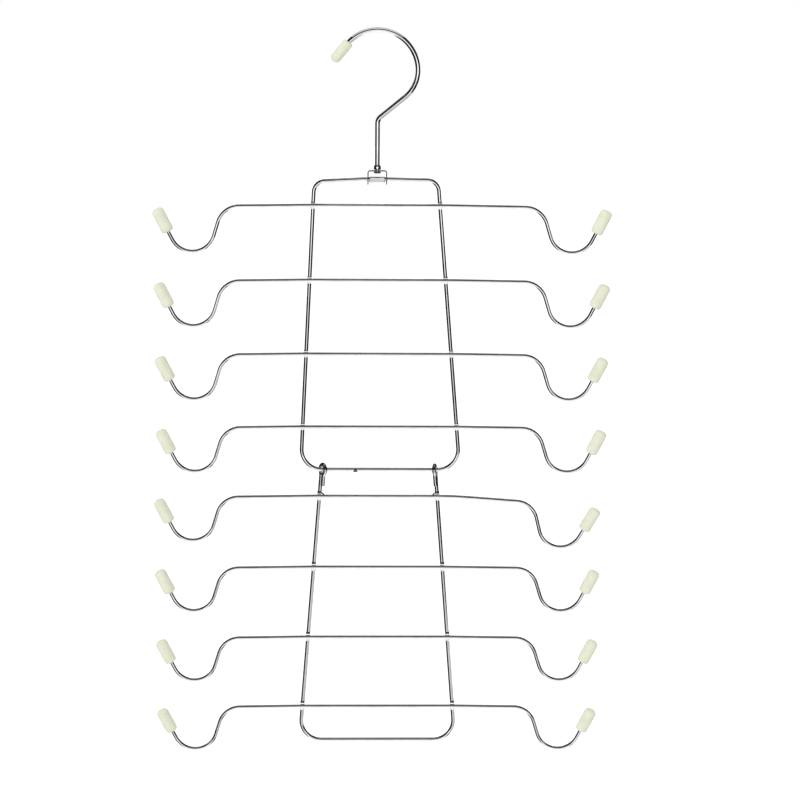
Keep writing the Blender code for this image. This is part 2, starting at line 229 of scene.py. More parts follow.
def quarter_round(steps: int) -> list[tuple[float, float]]:
    """Go round a quarter circle in even steps.

    Args:
        steps: The number of steps.

    Returns:
        At each step, as parts of the radius, how far the circle has curved away, which rises
        from 0 to 1, and how far it still has to go, which falls from 1 to 0.
    """
    angles = [math.radians(RIGHT_ANGLE) * step / steps for step in range(steps + 1)]
    return [(1 - math.cos(angle), 1 - math.sin(angle)) for angle in angles]


@dataclass(frozen=True)
class WireGauge:
    """A wire's thickness, and how finely it is drawn."""

    diameter: float
    sides: int
    bend_step: float


HOOK_WIRE = WireGauge(3.0 * MM, 32, 3.0)
FRAME_WIRE = WireGauge(2.5 * MM, 28, 3.5)
ARM_WIRE = WireGauge(2.3 * MM, 24, 4.0)
SEAT_GAP = 0.3 * MM


class WireCourse:
    """A walk along a wire's centreline."""

    def __init__(self, start: Vector, heading: Vector) -> None:
        """Stand at the start.

        Args:
            start: Where the walk starts.
            heading: The direction of the first step.
        """
        self.place = Vector(start)
        self.heading = Vector(heading).normalized()

    def straight(self, length: float) -> None:
        """Walk straight on for a length."""
        self.place = self.place + self.heading * length

    def bend(self, radius: float, degrees: float, axis: Vector = TO_THE_VIEWER) -> None:
        """Walk round an arc.

        Args:
            radius: The radius of the centreline.
            degrees: The turn, by the right-hand rule about the axis.
            axis: The axis of the turn.
        """
        centre = self.bend_centre(radius, degrees, axis)
        turn = Matrix.Rotation(math.radians(degrees), 3, axis.normalized())
        self.place = centre + turn @ (self.place - centre)
        self.heading = turn @ self.heading

    def bend_centre(self, radius: float, degrees: float, axis: Vector) -> Vector:
        """Find the centre of an arc that starts here.

        Args:
            radius: The radius of the centreline.
            degrees: The turn, of which only the sign counts.
            axis: The axis of the turn.

        Returns:
            The centre.
        """
        inwards = axis.normalized().cross(self.heading)
        return self.place + inwards * math.copysign(radius, degrees)

    def round_corners(self, corners: Sequence[tuple[Vector, float]], end: Vector) -> None:
        """Walk towards the end past sharp corners, each rounded off with its bend radius.

        Args:
            corners: The sharp corners and their bend radii.
            end: The place behind the last corner, which is not walked to.
        """
        places = [self.place, *(corner for corner, radius in corners), end]
        headings = [(after - before).normalized() for before, after in zip(places, places[1:])]
        for (corner, radius), before, after in zip(corners, headings, headings[1:]):
            sideways = TO_THE_VIEWER.dot(before.cross(after))
            turn = math.degrees(math.atan2(sideways, before.dot(after)))
            to_corner = (corner - self.place).length
            self.straight(to_corner - corner_trim(radius, abs(turn)))
            self.bend(radius, turn)

    def straight_to(self, end: Vector) -> None:
        """Walk straight on as far as a place that lies ahead."""
        self.straight((end - self.place).length)


class WirePen(WireCourse):
    """Draws a wire: a round section that is pulled out straight and spun round bends."""

    GRAIN = "grain"

    def __init__(self, name: str, start: Vector, heading: Vector, wire: WireGauge) -> None:
        """Lay the first section and open it in edit mode.

        Args:
            name: The name of the piece.
            start: Where the wire starts.
            heading: The direction in which it starts.
            wire: The wire's thickness and fineness.
        """
        super().__init__(start, heading)
        self.wire = wire
        self.radius = wire.diameter / 2
        self.walked = 0.0
        self.ring_lengths = [0.0]
        deselect_all()
        bpy.ops.mesh.primitive_circle_add(
            vertices=wire.sides, radius=self.radius, location=start,
            rotation=self.heading.to_track_quat("Z", "Y").to_euler(),
        )
        self.item = new_primitive(name)
        bpy.ops.object.mode_set(mode="EDIT")
        bpy.ops.mesh.select_all(action="SELECT")

    def straight(self, length: float) -> None:
        """Pull the section straight on.

        Args:
            length: How far it is pulled.
        """
        offset = self.heading * length
        super().straight(length)
        self.walked += length
        self.ring_lengths.append(self.walked)
        bpy.ops.mesh.extrude_region_move(TRANSFORM_OT_translate={"value": offset})

    def bend(self, radius: float, degrees: float, axis: Vector = TO_THE_VIEWER) -> None:
        """Spin the section round a bend, by the right-hand rule about the axis.

        Args:
            radius: The radius of the centreline.
            degrees: The turn.
            axis: The axis of the turn.
        """
        centre = self.bend_centre(radius, degrees, axis)
        steps = math.ceil(abs(degrees) / self.wire.bend_step)
        arc = radius * math.radians(abs(degrees))
        bpy.ops.mesh.spin(
            steps=steps, angle=-math.radians(degrees), center=centre, axis=axis.normalized(),
        )
        super().bend(radius, degrees, axis)
        self.ring_lengths += [self.walked + arc * (step + 1) / steps for step in range(steps)]
        self.walked += arc

    def swell(self, length: float, radius: float) -> None:
        """Pull the section on for a length and form it to a new radius.

        Args:
            length: How far along the wire the new section lies.
            radius: Its radius.
        """
        self.straight(length)
        factor = radius / self.radius
        bpy.ops.transform.resize(value=(factor, factor, factor), center_override=self.place)
        self.radius = radius

    def lift(self, closed: bool = False) -> bpy.types.Object:
        """Leave edit mode, with the wire's ends capped and its grain laid.

        Args:
            closed: Whether the wire ends where it started.

        Returns:
            The drawn wire.
        """
        if not closed:
            bpy.ops.mesh.edge_face_add()
        bpy.ops.object.mode_set(mode="OBJECT")
        self.lay_grain()
        return self.item

    def cap_start(self) -> None:
        """Close the wire's first section with a face."""
        for index, vertex in enumerate(self.item.data.vertices):
            vertex.select = index < self.wire.sides
        with editing(self.item):
            bpy.ops.mesh.edge_face_add()

    def lay_grain(self) -> None:
        """Lay a UV map that runs round the wire in U and along it, in metres, in V."""
        mesh = self.item.data
        grain = mesh.uv_layers.new(name=self.GRAIN)
        sides = self.wire.sides
        last = sides - 1
        for face in mesh.polygons:
            places = [mesh.loops[index].vertex_index % sides for index in face.loop_indices]
            over_the_seam = 0 in places and last in places
            for index, place in zip(face.loop_indices, places):
                ring = mesh.loops[index].vertex_index // sides
                turn = 1.0 if over_the_seam and place == 0 else place / sides
                grain.data[index].uv = (turn, self.ring_lengths[ring])


@dataclass(frozen=True)
class Pattern:
    """A noise pattern: its swings per metre, and how many finer layers it has."""

    scale: float
    detail: float


@dataclass(frozen=True)
class Relief:
    """A pattern of fine heights: how high they are, and how much of them shows."""

    pattern: Pattern
    height: float
    strength: float


class Shader:
    """A material whose shader's own sockets hold what is the same all over the surface."""

    LAYER_SHARE = 0.55
    USUAL_LOW = 0.3
    USUAL_HIGH = 0.7

    def __init__(self, name: str) -> None:
        """Make a new material.

        Args:
            name: The material's name.
        """
        self.material = bpy.data.materials.new(name)
        self.material.use_nodes = True
        self.tree = self.material.node_tree
        self.surface = self.tree.nodes["Principled BSDF"]

    def add(self, kind: str, **settings: object) -> bpy.types.Node:
        """Add a node.

        Args:
            kind: The node's type.
            settings: Its own settings, by name.

        Returns:
            The node.
        """
        node = self.tree.nodes.new(kind)
        for name, value in settings.items():
            setattr(node, name, value)
        return node

    def link(self, source: bpy.types.NodeSocket, target: bpy.types.NodeSocket) -> None:
        """Link two sockets."""
        self.tree.links.new(source, target)

    def drive(self, name: str, source: bpy.types.NodeSocket) -> None:
        """Link a source to the surface's socket of this name."""
        self.link(source, self.surface.inputs[name])

    def place(self) -> bpy.types.NodeSocket:
        """Add the coordinates of the piece itself."""
        return self.add("ShaderNodeTexCoord").outputs["Object"]

    def set_inputs(self, node: bpy.types.Node, **values: object) -> None:
        """Set a node's sockets, given by their names with underscores for spaces.

        Args:
            node: The node.
            values: The sockets' values.
        """
        for name, value in values.items():
            node.inputs[name.replace("_", " ")].default_value = value

    def noise(self, place: bpy.types.NodeSocket, pattern: Pattern) -> bpy.types.NodeSocket:
        """Add a noise pattern.

        Args:
            place: The coordinates that it reads.
            pattern: How fine it is.

        Returns:
            The pattern's value.
        """
        node = self.add("ShaderNodeTexNoise")
        self.set_inputs(
            node, Scale=pattern.scale, Detail=pattern.detail, Roughness=self.LAYER_SHARE,
        )
        self.link(place, node.inputs["Vector"])
        return node.outputs["Fac"]

    def ramp(
        self, value: bpy.types.NodeSocket, stops: Sequence[tuple[float, Sequence[float]]],
    ) -> bpy.types.NodeSocket:
        """Turn a value to colours.

        Args:
            value: The value.
            stops: The ramp's places and colours.

        Returns:
            The colour.
        """
        node = self.add("ShaderNodeValToRGB")
        marks = node.color_ramp.elements
        while len(marks) < len(stops):
            marks.new(1.0)
        for mark, (place, colour) in zip(marks, stops):
            mark.position = place
            mark.color = (*colour, 1.0)
        self.link(value, node.inputs["Fac"])
        return node.outputs["Color"]

    def spread(self, value: bpy.types.NodeSocket, low: float, high: float) -> bpy.types.NodeSocket:
        """Spread a pattern's usual range over a range of values.

        Args:
            value: The pattern's value.
            low: What its low end becomes.
            high: What its high end becomes.

        Returns:
            The spread value.
        """
        node = self.add("ShaderNodeMapRange", clamp=True)
        self.set_inputs(
            node, From_Min=self.USUAL_LOW, From_Max=self.USUAL_HIGH, To_Min=low, To_Max=high,
        )
        self.link(value, node.inputs["Value"])
        return node.outputs["Result"]

    def relief(
        self, place: bpy.types.NodeSocket, relief: Relief,
        below: bpy.types.NodeSocket | None = None,
    ) -> bpy.types.NodeSocket:
        """Bend the surface by a pattern of fine heights.

        Args:
            place: The coordinates that the pattern reads.
            relief: The pattern, its height and its strength.
            below: The normal of a coarser relief below this one.

        Returns:
            The bent normal.
        """
        node = self.add("ShaderNodeBump")
        self.set_inputs(node, Distance=relief.height, Strength=relief.strength)
        self.link(self.noise(place, relief.pattern), node.inputs["Height"])
        if below is not None:
            self.link(below, node.inputs["Normal"])
        return node.outputs["Normal"]


@dataclass(frozen=True)
class ChromeFinish:
    """Bright chrome plating, through which the grain of the metal below shows."""

    name: str
    plating: Plating
    # How sharply it mirrors, where it is untouched and where it is rubbed.
    smooth: float = 0.03
    rubbed: float = 0.09
    # Its colours, and where in the clouds each one ends or starts.
    dull: Colour = (0.78, 0.785, 0.78)
    dull_end: float = 0.35
    bright: Colour = (0.88, 0.885, 0.89)
    bright_start: float = 0.6
    refraction: float = 2.6
    # The unevenness of its colour, its gloss and its surface.
    clouds: Pattern = Pattern(160.0, 3.0)
    handling: Pattern = Pattern(420.0, 4.0)
    waves: Relief = Relief(Pattern(300.0, 1.0), 0.004 * MM, 0.5)
    grains: Relief = Relief(Pattern(2600.0, 3.0), 0.006 * MM, 0.7)
    lines: Relief = Relief(Pattern(1.0, 2.0), 0.0006 * MM, 0.5)
    lines_round: float = 34.0
    lines_along: float = 26.47

    def material(self) -> bpy.types.Material:
        """Make the material.

        Returns:
            The plated material.
        """
        shader = Shader(self.name)
        place = shader.place()
        stops = [(self.dull_end, self.dull), (self.bright_start, self.bright)]
        shader.drive("Base Color", shader.ramp(shader.noise(place, self.clouds), stops))
        handling = shader.noise(place, self.handling)
        shader.drive("Roughness", shader.spread(handling, self.smooth, self.rubbed))
        normal = shader.relief(place, self.waves)
        if self.plating is Plating.DRAWN_WIRE:
            normal = self.drawn_lines(shader, normal)
        else:
            normal = shader.relief(place, self.grains, normal)
        shader.drive("Normal", normal)
        shader.set_inputs(shader.surface, Metallic=1.0, IOR=self.refraction)
        return shader.material

    def drawn_lines(self, shader: Shader, below: bpy.types.NodeSocket) -> bpy.types.NodeSocket:
        """Add the fine lines that the drawing die leaves along a wire.

        Args:
            shader: The material in the making.
            below: The normal of the coarser relief.

        Returns:
            The normal with the lines.
        """
        grain = shader.add("ShaderNodeUVMap", uv_map=WirePen.GRAIN)
        stretch = shader.add("ShaderNodeMapping")
        shader.set_inputs(stretch, Scale=(self.lines_round, self.lines_along, 1.0))
        shader.link(grain.outputs["UV"], stretch.inputs["Vector"])
        return shader.relief(stretch.outputs["Vector"], self.lines, below)


@dataclass(frozen=True)
class BareSteelAndShadeFinish:
    """Steel whose plating was hammered or burnt off, grey and dull.

    Its near-black tone is partly painted shade: on the rivet head it stands for the shadow
    under the bracket's plate.
    """

    name: str = "bare_steel"
    # The near-black tone is painted shade on the rivet head, for the shadow under the bracket's
    # plate.
    dark: Colour = (0.10, 0.10, 0.10)
    dark_end: float = 0.35
    grey: Colour = (0.24, 0.235, 0.225)
    grey_start: float = 0.65
    smooth: float = 0.35
    rough: float = 0.55
    scale: Pattern = Pattern(1900.0, 4.0)
    wear: Pattern = Pattern(1200.0, 3.0)
    pits: Relief = Relief(Pattern(2400.0, 2.0), 0.02 * MM, 0.6)

    def material(self) -> bpy.types.Material:
        """Make the material.

        Returns:
            The bare steel.
        """
        shader = Shader(self.name)
        place = shader.place()
        stops = [(self.dark_end, self.dark), (self.grey_start, self.grey)]
        shader.drive("Base Color", shader.ramp(shader.noise(place, self.scale), stops))
        wear = shader.noise(place, self.wear)
        shader.drive("Roughness", shader.spread(wear, self.smooth, self.rough))
        shader.drive("Normal", shader.relief(place, self.pits))
        shader.set_inputs(shader.surface, Metallic=1.0)
        return shader.material


@dataclass(frozen=True)
class VinylFinish:
    """Soft dipped vinyl in ivory, a little translucent, with a satin skin."""

    name: str = "dipped_vinyl"
    # Its colours, and where in the clouds each one lies.
    shaded: Colour = (0.73, 0.735, 0.57)
    shaded_end: float = 0.3
    body: Colour = (0.765, 0.775, 0.62)
    body_at: float = 0.5
    pale: Colour = (0.79, 0.795, 0.67)
    pale_start: float = 0.7
    # Its skin.
    satin: float = 0.36
    matt: float = 0.50
    refraction: float = 1.52
    gloss: float = 0.2
    bloom: float = 0.5
    bloom_roughness: float = 0.4
    # How much light goes in, and how far each colour of it gets.
    translucency: float = 0.08
    reach: float = 0.8 * MM
    reach_shares: Colour = (1.0, 0.9, 0.6)
    # The unevenness of its colour, its gloss and its surface.
    clouds: Pattern = Pattern(240.0, 1.5)
    smears: Pattern = Pattern(600.0, 2.0)
    sag: Relief = Relief(Pattern(300.0, 1.0), 0.05 * MM, 0.5)
    skin: Relief = Relief(Pattern(1400.0, 1.0), 0.002 * MM, 0.35)

    def material(self) -> bpy.types.Material:
        """Make the material.

        Returns:
            The vinyl.
        """
        shader = Shader(self.name)
        place = shader.place()
        stops = [
            (self.shaded_end, self.shaded),
            (self.body_at, self.body),
            (self.pale_start, self.pale),
        ]
        shader.drive("Base Color", shader.ramp(shader.noise(place, self.clouds), stops))
        smears = shader.noise(place, self.smears)
        shader.drive("Roughness", shader.spread(smears, self.satin, self.matt))
        sag = shader.relief(place, self.sag)
        shader.drive("Normal", shader.relief(place, self.skin, sag))
        shader.set_inputs(
            shader.surface, Metallic=0.0, IOR=self.refraction, Specular_IOR_Level=self.gloss,
            Subsurface_Weight=self.translucency, Subsurface_Radius=self.reach_shares,
            Subsurface_Scale=self.reach, Sheen_Weight=self.bloom,
            Sheen_Roughness=self.bloom_roughness,
        )
        return shader.material


@dataclass(frozen=True)
class FloorFinish:
    """Plain pale floor paint, which glows a little so that its shade stays even."""

    name: str = "pale_floor"
    grey: Colour = (0.93, 0.93, 0.93)
    grey_end: float = 0.3
    pale: Colour = (0.95, 0.95, 0.95)
    pale_start: float = 0.7
    roughness: float = 0.9
    glow: float = 0.4
    clouds: Pattern = Pattern(3.0, 2.0)

    def material(self) -> bpy.types.Material:
        """Make the material.

        Returns:
            The floor's paint.
        """
        shader = Shader(self.name)
        stops = [(self.grey_end, self.grey), (self.pale_start, self.pale)]
        clouds = shader.noise(shader.place(), self.clouds)
        shader.drive("Base Color", shader.ramp(clouds, stops))
        shader.set_inputs(
            shader.surface, Roughness=self.roughness, Emission_Color=WHITE,
            Emission_Strength=self.glow,
        )
        return shader.material


@dataclass(frozen=True)
class Finishes:
    """Every material of the hanger."""

    hook: bpy.types.Material
    sheet: bpy.types.Material
    frame: bpy.types.Material
    arm: bpy.types.Material
    weld: bpy.types.Material
    bare: bpy.types.Material
    vinyl: bpy.types.Material

    @classmethod
    def make(cls) -> Finishes:
        """Make all materials.

        Returns:
            The materials, by what they are for.
        """
        return cls(
            hook=ChromeFinish("hook_chrome", Plating.DRAWN_WIRE).material(),
            sheet=ChromeFinish("sheet_plating", Plating.PLAIN_METAL, rubbed=0.18).material(),
            frame=ChromeFinish("frame_chrome", Plating.DRAWN_WIRE).material(),
            arm=ChromeFinish("arm_chrome", Plating.DRAWN_WIRE).material(),
            weld=ChromeFinish(
                "weld_chrome", Plating.PLAIN_METAL, smooth=0.05, rubbed=0.14,
            ).material(),
            bare=BareSteelAndShadeFinish().material(),
            vinyl=VinylFinish().material(),
        )


def settle(
    item: bpy.types.Object, material: bpy.types.Material, body: Body, slot: Slot, *nodes: str,
) -> None:
    """Dress a finished piece and tell what it rides on and stands for.

    Args:
        item: The piece.
        material: Its finish.
        body: The body that it moves with.
        slot: The record's material slot; not used.
        nodes: The parts that it replaces.
    """
    item.data.materials.clear()
    item.data.materials.append(material)
    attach(item, body.value)
    if nodes:
        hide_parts(*nodes)
    LOG.info("%s: %d faces, rides on %s", item.name, len(item.data.polygons), body.value)


@dataclass(frozen=True)
class SoftTip:
    """A soft cap on a wire end, modelled with its mouth at the origin and pointing up."""

    wire: WireGauge
    diameter: float
    length: float
    end_rounding: float
    mouth_round: float
    # The socket round the wire.
    grip: float = 11.0 * MM
    socket_room: float = 0.03 * MM
    lip_share: float = 0.125
    # Its fineness.
    sides: int = 40
    round_steps: int = 8

    def mesh(self, name: str) -> bpy.types.Object:
        """Form the cap from the socket's floor, round the mouth and up to the closed end.

        Args:
            name: The name of the piece.

        Returns:
            The cap.
        """
        socket = self.wire.diameter / 2 + self.socket_room
        floor = self.grip + self.socket_room
        lip = self.mouth_round * self.lip_share
        gauge = WireGauge(2 * socket, self.sides, RIGHT_ANGLE)
        pen = WirePen(name, Vector((0, 0, floor)), -UP, gauge)
        bpy.ops.mesh.edge_face_add()
        pen.swell(floor - lip, socket)
        pen.swell(lip, socket + lip)
        for height, radius in self.outside():
            pen.swell(pen.place.z - height, radius)
        return pen.lift()

    def outside(self) -> list[tuple[float, float]]:
        """List the heights and radii of the outside, from the mouth to the closed end.

        Returns:
            The heights above the mouth and the radii there.
        """
        outer = self.diameter / 2
        turns = quarter_round(self.round_steps)
        mouth, end = self.mouth_round, outer * self.end_rounding
        rows = [(mouth * risen, outer - mouth * short) for risen, short in turns]
        rows += [(self.length - end * short, outer - end * drawn_in) for drawn_in, short in turns]
        return rows

    def placing(self, mouth: Vector, heading: Vector) -> Matrix:
        """Find where a cap goes on a wire.

        Args:
            mouth: Where the wire enters the cap.
            heading: The wire's direction there.

        Returns:
            The cap's placing.
        """
        turn = UP.rotation_difference(heading).to_matrix().to_4x4()
        return Matrix.Translation(mouth) @ turn


@dataclass(frozen=True)
class Hook:
    """The hook: an arc over the rail, a slanting neck, a stem, and a collar and rivet head."""

    # The wire, from its free end to the stem.
    inside_radius: float = 23.0 * MM
    tip_angle: float = 134.0
    tip_bend: float = 6.0
    tip_bend_radius: float = 8.0 * MM
    throat_angle: float = 7.0
    throat_inside_radius: float = 19.3 * MM
    neck_angle: float = -51.0
    neck_bend_radius: float = 5.0 * MM
    tip: SoftTip = SoftTip(
        HOOK_WIRE, diameter=6.3 * MM, length=14.8 * MM, end_rounding=0.88, mouth_round=1.2 * MM,
    )
    # The foot, which turns in the bracket's plate.
    collar_diameter: float = 4.5 * MM
    collar_height: float = 2.5 * MM
    collar_rounding: float = 0.8 * MM
    flare_length: float = 0.5 * MM
    flare_diameter: float = 3.12 * MM
    shoulder_diameter: float = 3.3 * MM
    underside_height: float = 0.4 * MM
    underside_inset: float = 0.2667 * MM
    rivet_neck_diameter: float = 2.6 * MM
    # The rivet head, with its profile as shares of its height and radius.
    rivet_head_diameter: float = 4.4 * MM
    rivet_head_height: float = 1.1 * MM
    rivet_face: float = 0.9
    rivet_profile: tuple[tuple[float, float], ...] = (
        (0.1, 1.0), (0.6, 0.98), (0.85, 0.86), (1.0, 0.6),
    )
    # Its fineness.
    round_steps: int = 6

    def draw(self, bracket: Bracket) -> tuple[bpy.types.Object, Matrix]:
        """Draw the hook's wire from inside its tip down to the rivet head.

        Args:
            bracket: The bracket that holds the hook's foot.

        Returns:
            The wire, and the placing of its tip.
        """
        angle = math.radians(self.tip_angle)
        spoke = Vector((math.cos(angle), 0, math.sin(angle)))
        radius = self.inside_radius + HOOK_WIRE.diameter / 2
        throat_radius = self.throat_inside_radius + HOOK_WIRE.diameter / 2
        arc_start = Vector((0, 0, -self.inside_radius)) + spoke * radius
        free_end = WireCourse(arc_start, TO_THE_VIEWER.cross(spoke))
        free_end.bend(self.tip_bend_radius, self.tip_bend)
        tip_placing = self.tip.placing(free_end.place, free_end.heading)
        free_end.straight(self.tip.grip)

        pen = WirePen("hook", free_end.place, -free_end.heading, HOOK_WIRE)
        pen.straight(self.tip.grip)
        pen.bend(self.tip_bend_radius, -self.tip_bend)
        pen.bend(radius, self.throat_angle - self.tip_angle)
        pen.bend(throat_radius, self.neck_angle - self.throat_angle)
        to_axis = -pen.place.x / pen.heading.x
        pen.straight(to_axis - corner_trim(self.neck_bend_radius, -self.neck_angle))
        pen.bend(self.neck_bend_radius, -self.neck_angle)
        for height, foot_radius in self.foot(bracket):
            pen.swell(pen.place.z - height, foot_radius)
        item = pen.lift()
        pen.cap_start()
        return item, tip_placing

    def foot(self, bracket: Bracket) -> list[tuple[float, float]]:
        """List the heights and radii of the foot, from the stem down to the rivet head.

        Args:
            bracket: The bracket whose plate the foot runs in.

        Returns:
            The heights and the radii there.
        """
        stem = HOOK_WIRE.diameter / 2
        collar = self.collar_diameter / 2
        neck = self.rivet_neck_diameter / 2
        shoulder = self.shoulder_diameter / 2
        low = bracket.plate_top + SEAT_GAP
        high = low + self.collar_height
        rows = [(high + self.flare_length, stem), (high, self.flare_diameter / 2)]
        turns = quarter_round(self.round_steps)
        for sunk, short in turns:
            radius = collar - (collar - shoulder) * short
            rows.append((high - self.collar_rounding * sunk, radius))
        for drawn_in, short in turns:
            radius = collar - self.underside_inset * drawn_in
            rows.append((low + self.underside_height * short, radius))
        rows += [(low, neck), (self.head_top(bracket) - self.rivet_head_height / 2, neck)]
        return rows

    def head_top(self, bracket: Bracket) -> float:
        """Find the height of the rivet head's upper side, below the bracket's plate."""
        return bracket.plate_top - bracket.sheet - SEAT_GAP

    def rivet_head(self, bracket: Bracket) -> bpy.types.Object:
        """Upset the foot's lower end to a flat head with hammered edges.

        Args:
            bracket: The bracket whose plate the head holds.

        Returns:
            The head.
        """
        top = self.head_top(bracket)
        radius = self.rivet_head_diameter / 2
        face = self.rivet_head_diameter * self.rivet_face
        gauge = WireGauge(face, HOOK_WIRE.sides, RIGHT_ANGLE)
        pen = WirePen("rivet_head", Vector((0, 0, top)), -UP, gauge)
        bpy.ops.mesh.edge_face_add()
        for depth_share, radius_share in self.rivet_profile:
            height = top - self.rivet_head_height * depth_share
            pen.swell(pen.place.z - height, radius * radius_share)
        return pen.lift()

    def build(self, bracket: Bracket, finishes: Finishes) -> None:
        """Build and dress the hook and its tip.

        Args:
            bracket: The bracket that holds the hook's foot.
            finishes: The hanger's materials.
        """
        wire, tip_placing = self.draw(bracket)
        close_shell(wire)
        settle(wire, finishes.hook, Body.HOOK, Slot.WIRE, "hook_wire")
        head = self.rivet_head(bracket)
        close_shell(head)
        # The rivet head's near-black steel is painted shade, for the shadow under the bracket's
        # plate.
        settle(head, finishes.bare, Body.HOOK, Slot.WIRE)
        cap = self.tip.mesh("hook_cap")
        close_shell(cap)
        cap.data.transform(tip_placing)
        settle(cap, finishes.vinyl, Body.HOOK, Slot.TIP, "hook_tip")


@dataclass(frozen=True)
class Bracket:
    """The swivel bracket: a strap bent to a top plate with two round-ended ears."""

    # The strap, and the height of the wire in its ears.
    wire_height: float
    width: float = 12.2 * MM
    strap: float = 6.6 * MM
    sheet: float = 0.8 * MM
    rise: float = 5.75 * MM
    bend_radius: float = 1.6 * MM
    # The holes for the hook's foot and for the wire, and what cuts them.
    foot_hole: float = 3.2 * MM
    foot_cutter: float = 2.4 * MM
    ear_hole: float = 3.1 * MM
    ear_cutter: float = 24.4 * MM
    # The edges, and by what the edges and the cut faces are found.
    edge_round: float = 0.3 * MM
    edge_angle: float = 50.0
    edge_steps: int = 4
    same_height: float = 0.075 * MM
    same_seam: float = 0.015 * MM
    cut_facing: float = 0.3
    flat_facing: float = 0.8
    # Its fineness.
    bend_steps: int = 8
    end_steps: int = 12
    hole_sides: int = 48

    @property
    def plate_top(self) -> float:
        """The height of the plate's upper face."""
        return self.wire_height + self.rise

    def strap_surface(self) -> bpy.types.Object:
        """Bend the strap's middle surface from one ear over the plate to the other.

        Returns:
            The surface, which has no thickness yet.
        """
        ear = (self.width - self.sheet) / 2
        plate = self.plate_top - self.sheet / 2
        radius = self.bend_radius - self.sheet / 2
        ear_end = self.wire_height - self.strap / 2
        bend_start = plate - radius
        deselect_all()
        bpy.ops.mesh.primitive_plane_add(
            size=self.strap, location=(-ear, 0, self.wire_height),
            rotation=(0, math.radians(RIGHT_ANGLE), 0),
        )
        item = new_primitive("bracket")
        self.round_ear(item, ear_end)
        self.select_edge(item, ear_end + self.strap)
        with editing(item):
            self.pull(UP * (bend_start - ear_end - self.strap))
            self.bend_sheet(Vector((-ear + radius, 0, bend_start)))
            self.pull(TO_THE_RIGHT * 2 * (ear - radius))
            self.bend_sheet(Vector((ear - radius, 0, bend_start)))
            self.pull(UP * (ear_end - bend_start))
        self.round_ear(item, ear_end)
        return item

    def pull(self, offset: Vector) -> None:
        """Pull the sheet's selected edge on by an offset."""
        bpy.ops.mesh.extrude_region_move(TRANSFORM_OT_translate={"value": offset})

    def bend_sheet(self, centre: Vector) -> None:
        """Spin the sheet's selected edge round a square bend.

        Args:
            centre: The centre of the bend.
        """
        bpy.ops.mesh.spin(
            steps=self.bend_steps, angle=math.radians(RIGHT_ANGLE), center=centre,
            axis=TO_THE_VIEWER,
        )

    def round_ear(self, item: bpy.types.Object, height: float) -> None:
        """Round off the two corners at the end of an ear.

        Args:
            item: The strap's surface.
            height: The height of the ear's end.
        """
        self.select_edge(item, height)
        with editing(item):
            bpy.ops.mesh.bevel(
                affect="VERTICES", offset=self.strap / 2, segments=self.end_steps,
                profile=ROUND_PROFILE,
            )

    def select_edge(self, item: bpy.types.Object, height: float) -> None:
        """Select only the points of a surface at one height.

        Args:
            item: The strap's surface.
            height: The height of the points.
        """
        for face in item.data.polygons:
            face.select = False
        for edge in item.data.edges:
            edge.select = False
        for vertex in item.data.vertices:
            vertex.select = abs(vertex.co.z - height) < self.same_height
        for edge in item.data.edges:
            edge.select = all(item.data.vertices[index].select for index in edge.vertices)

    def cutter(
        self, diameter: float, length: float, centre: Vector, tilt: float,
    ) -> bpy.types.Object:
        """Add a round cutter.

        Args:
            diameter: Its diameter.
            length: Its length.
            centre: Its middle.
            tilt: Its turn about Y in degrees, from upright.

        Returns:
            The cutter.
        """
        deselect_all()
        bpy.ops.mesh.primitive_cylinder_add(
            vertices=self.hole_sides, radius=diameter / 2, depth=length, location=centre,
            rotation=(0, math.radians(tilt), 0),
        )
        return new_primitive("cutter")

    def build(self, finishes: Finishes) -> None:
        """Build and dress the bracket.

        Args:
            finishes: The hanger's materials.
        """
        item = self.strap_surface()
        with editing(item):
            bpy.ops.mesh.select_all(action="SELECT")
            bpy.ops.mesh.remove_doubles(threshold=self.same_seam)
            bpy.ops.mesh.normals_make_consistent(inside=False)
        wall = item.modifiers.new("sheet", "SOLIDIFY")
        wall.thickness = self.sheet
        wall.offset = 0.0
        plate_middle = Vector((0, 0, self.plate_top - self.sheet / 2))
        wire_middle = Vector((0, 0, self.wire_height))
        cutters = [
            self.cutter(self.foot_hole, self.foot_cutter, plate_middle, 0.0),
            self.cutter(self.ear_hole, self.ear_cutter, wire_middle, RIGHT_ANGLE),
        ]
        for cutter in cutters:
            hole = item.modifiers.new("hole", "BOOLEAN")
            hole.operation = "DIFFERENCE"
            hole.solver = "EXACT"
            hole.object = cutter
        edges = item.modifiers.new("edges", "BEVEL")
        edges.width = self.edge_round
        edges.segments = self.edge_steps
        edges.limit_method = "ANGLE"
        edges.angle_limit = math.radians(self.edge_angle)
        apply_modifiers(item)
        for cutter in cutters:
            bpy.data.objects.remove(cutter, do_unlink=True)
        close_shell(item)
        settle(item, finishes.sheet, Body.BRACKET, Slot.SHEET, "swivel_bracket")
        self.dull_cut_edges(item, finishes.bare)

    def dull_cut_edges(self, item: bpy.types.Object, bare: bpy.types.Material) -> None:
        """Give the strap's sheared edges their own, duller finish.

        Args:
            item: The bracket.
            bare: The finish of the edges.
        """
        item.data.materials.append(bare)
        for face in item.data.polygons:
            fore_or_aft = abs(face.normal.y) > self.cut_facing
            on_the_flat = abs(face.normal.x) > self.flat_facing
            ear_end = face.center.z < self.wire_height and not on_the_flat
            face.material_index = int(fore_or_aft or ear_end)


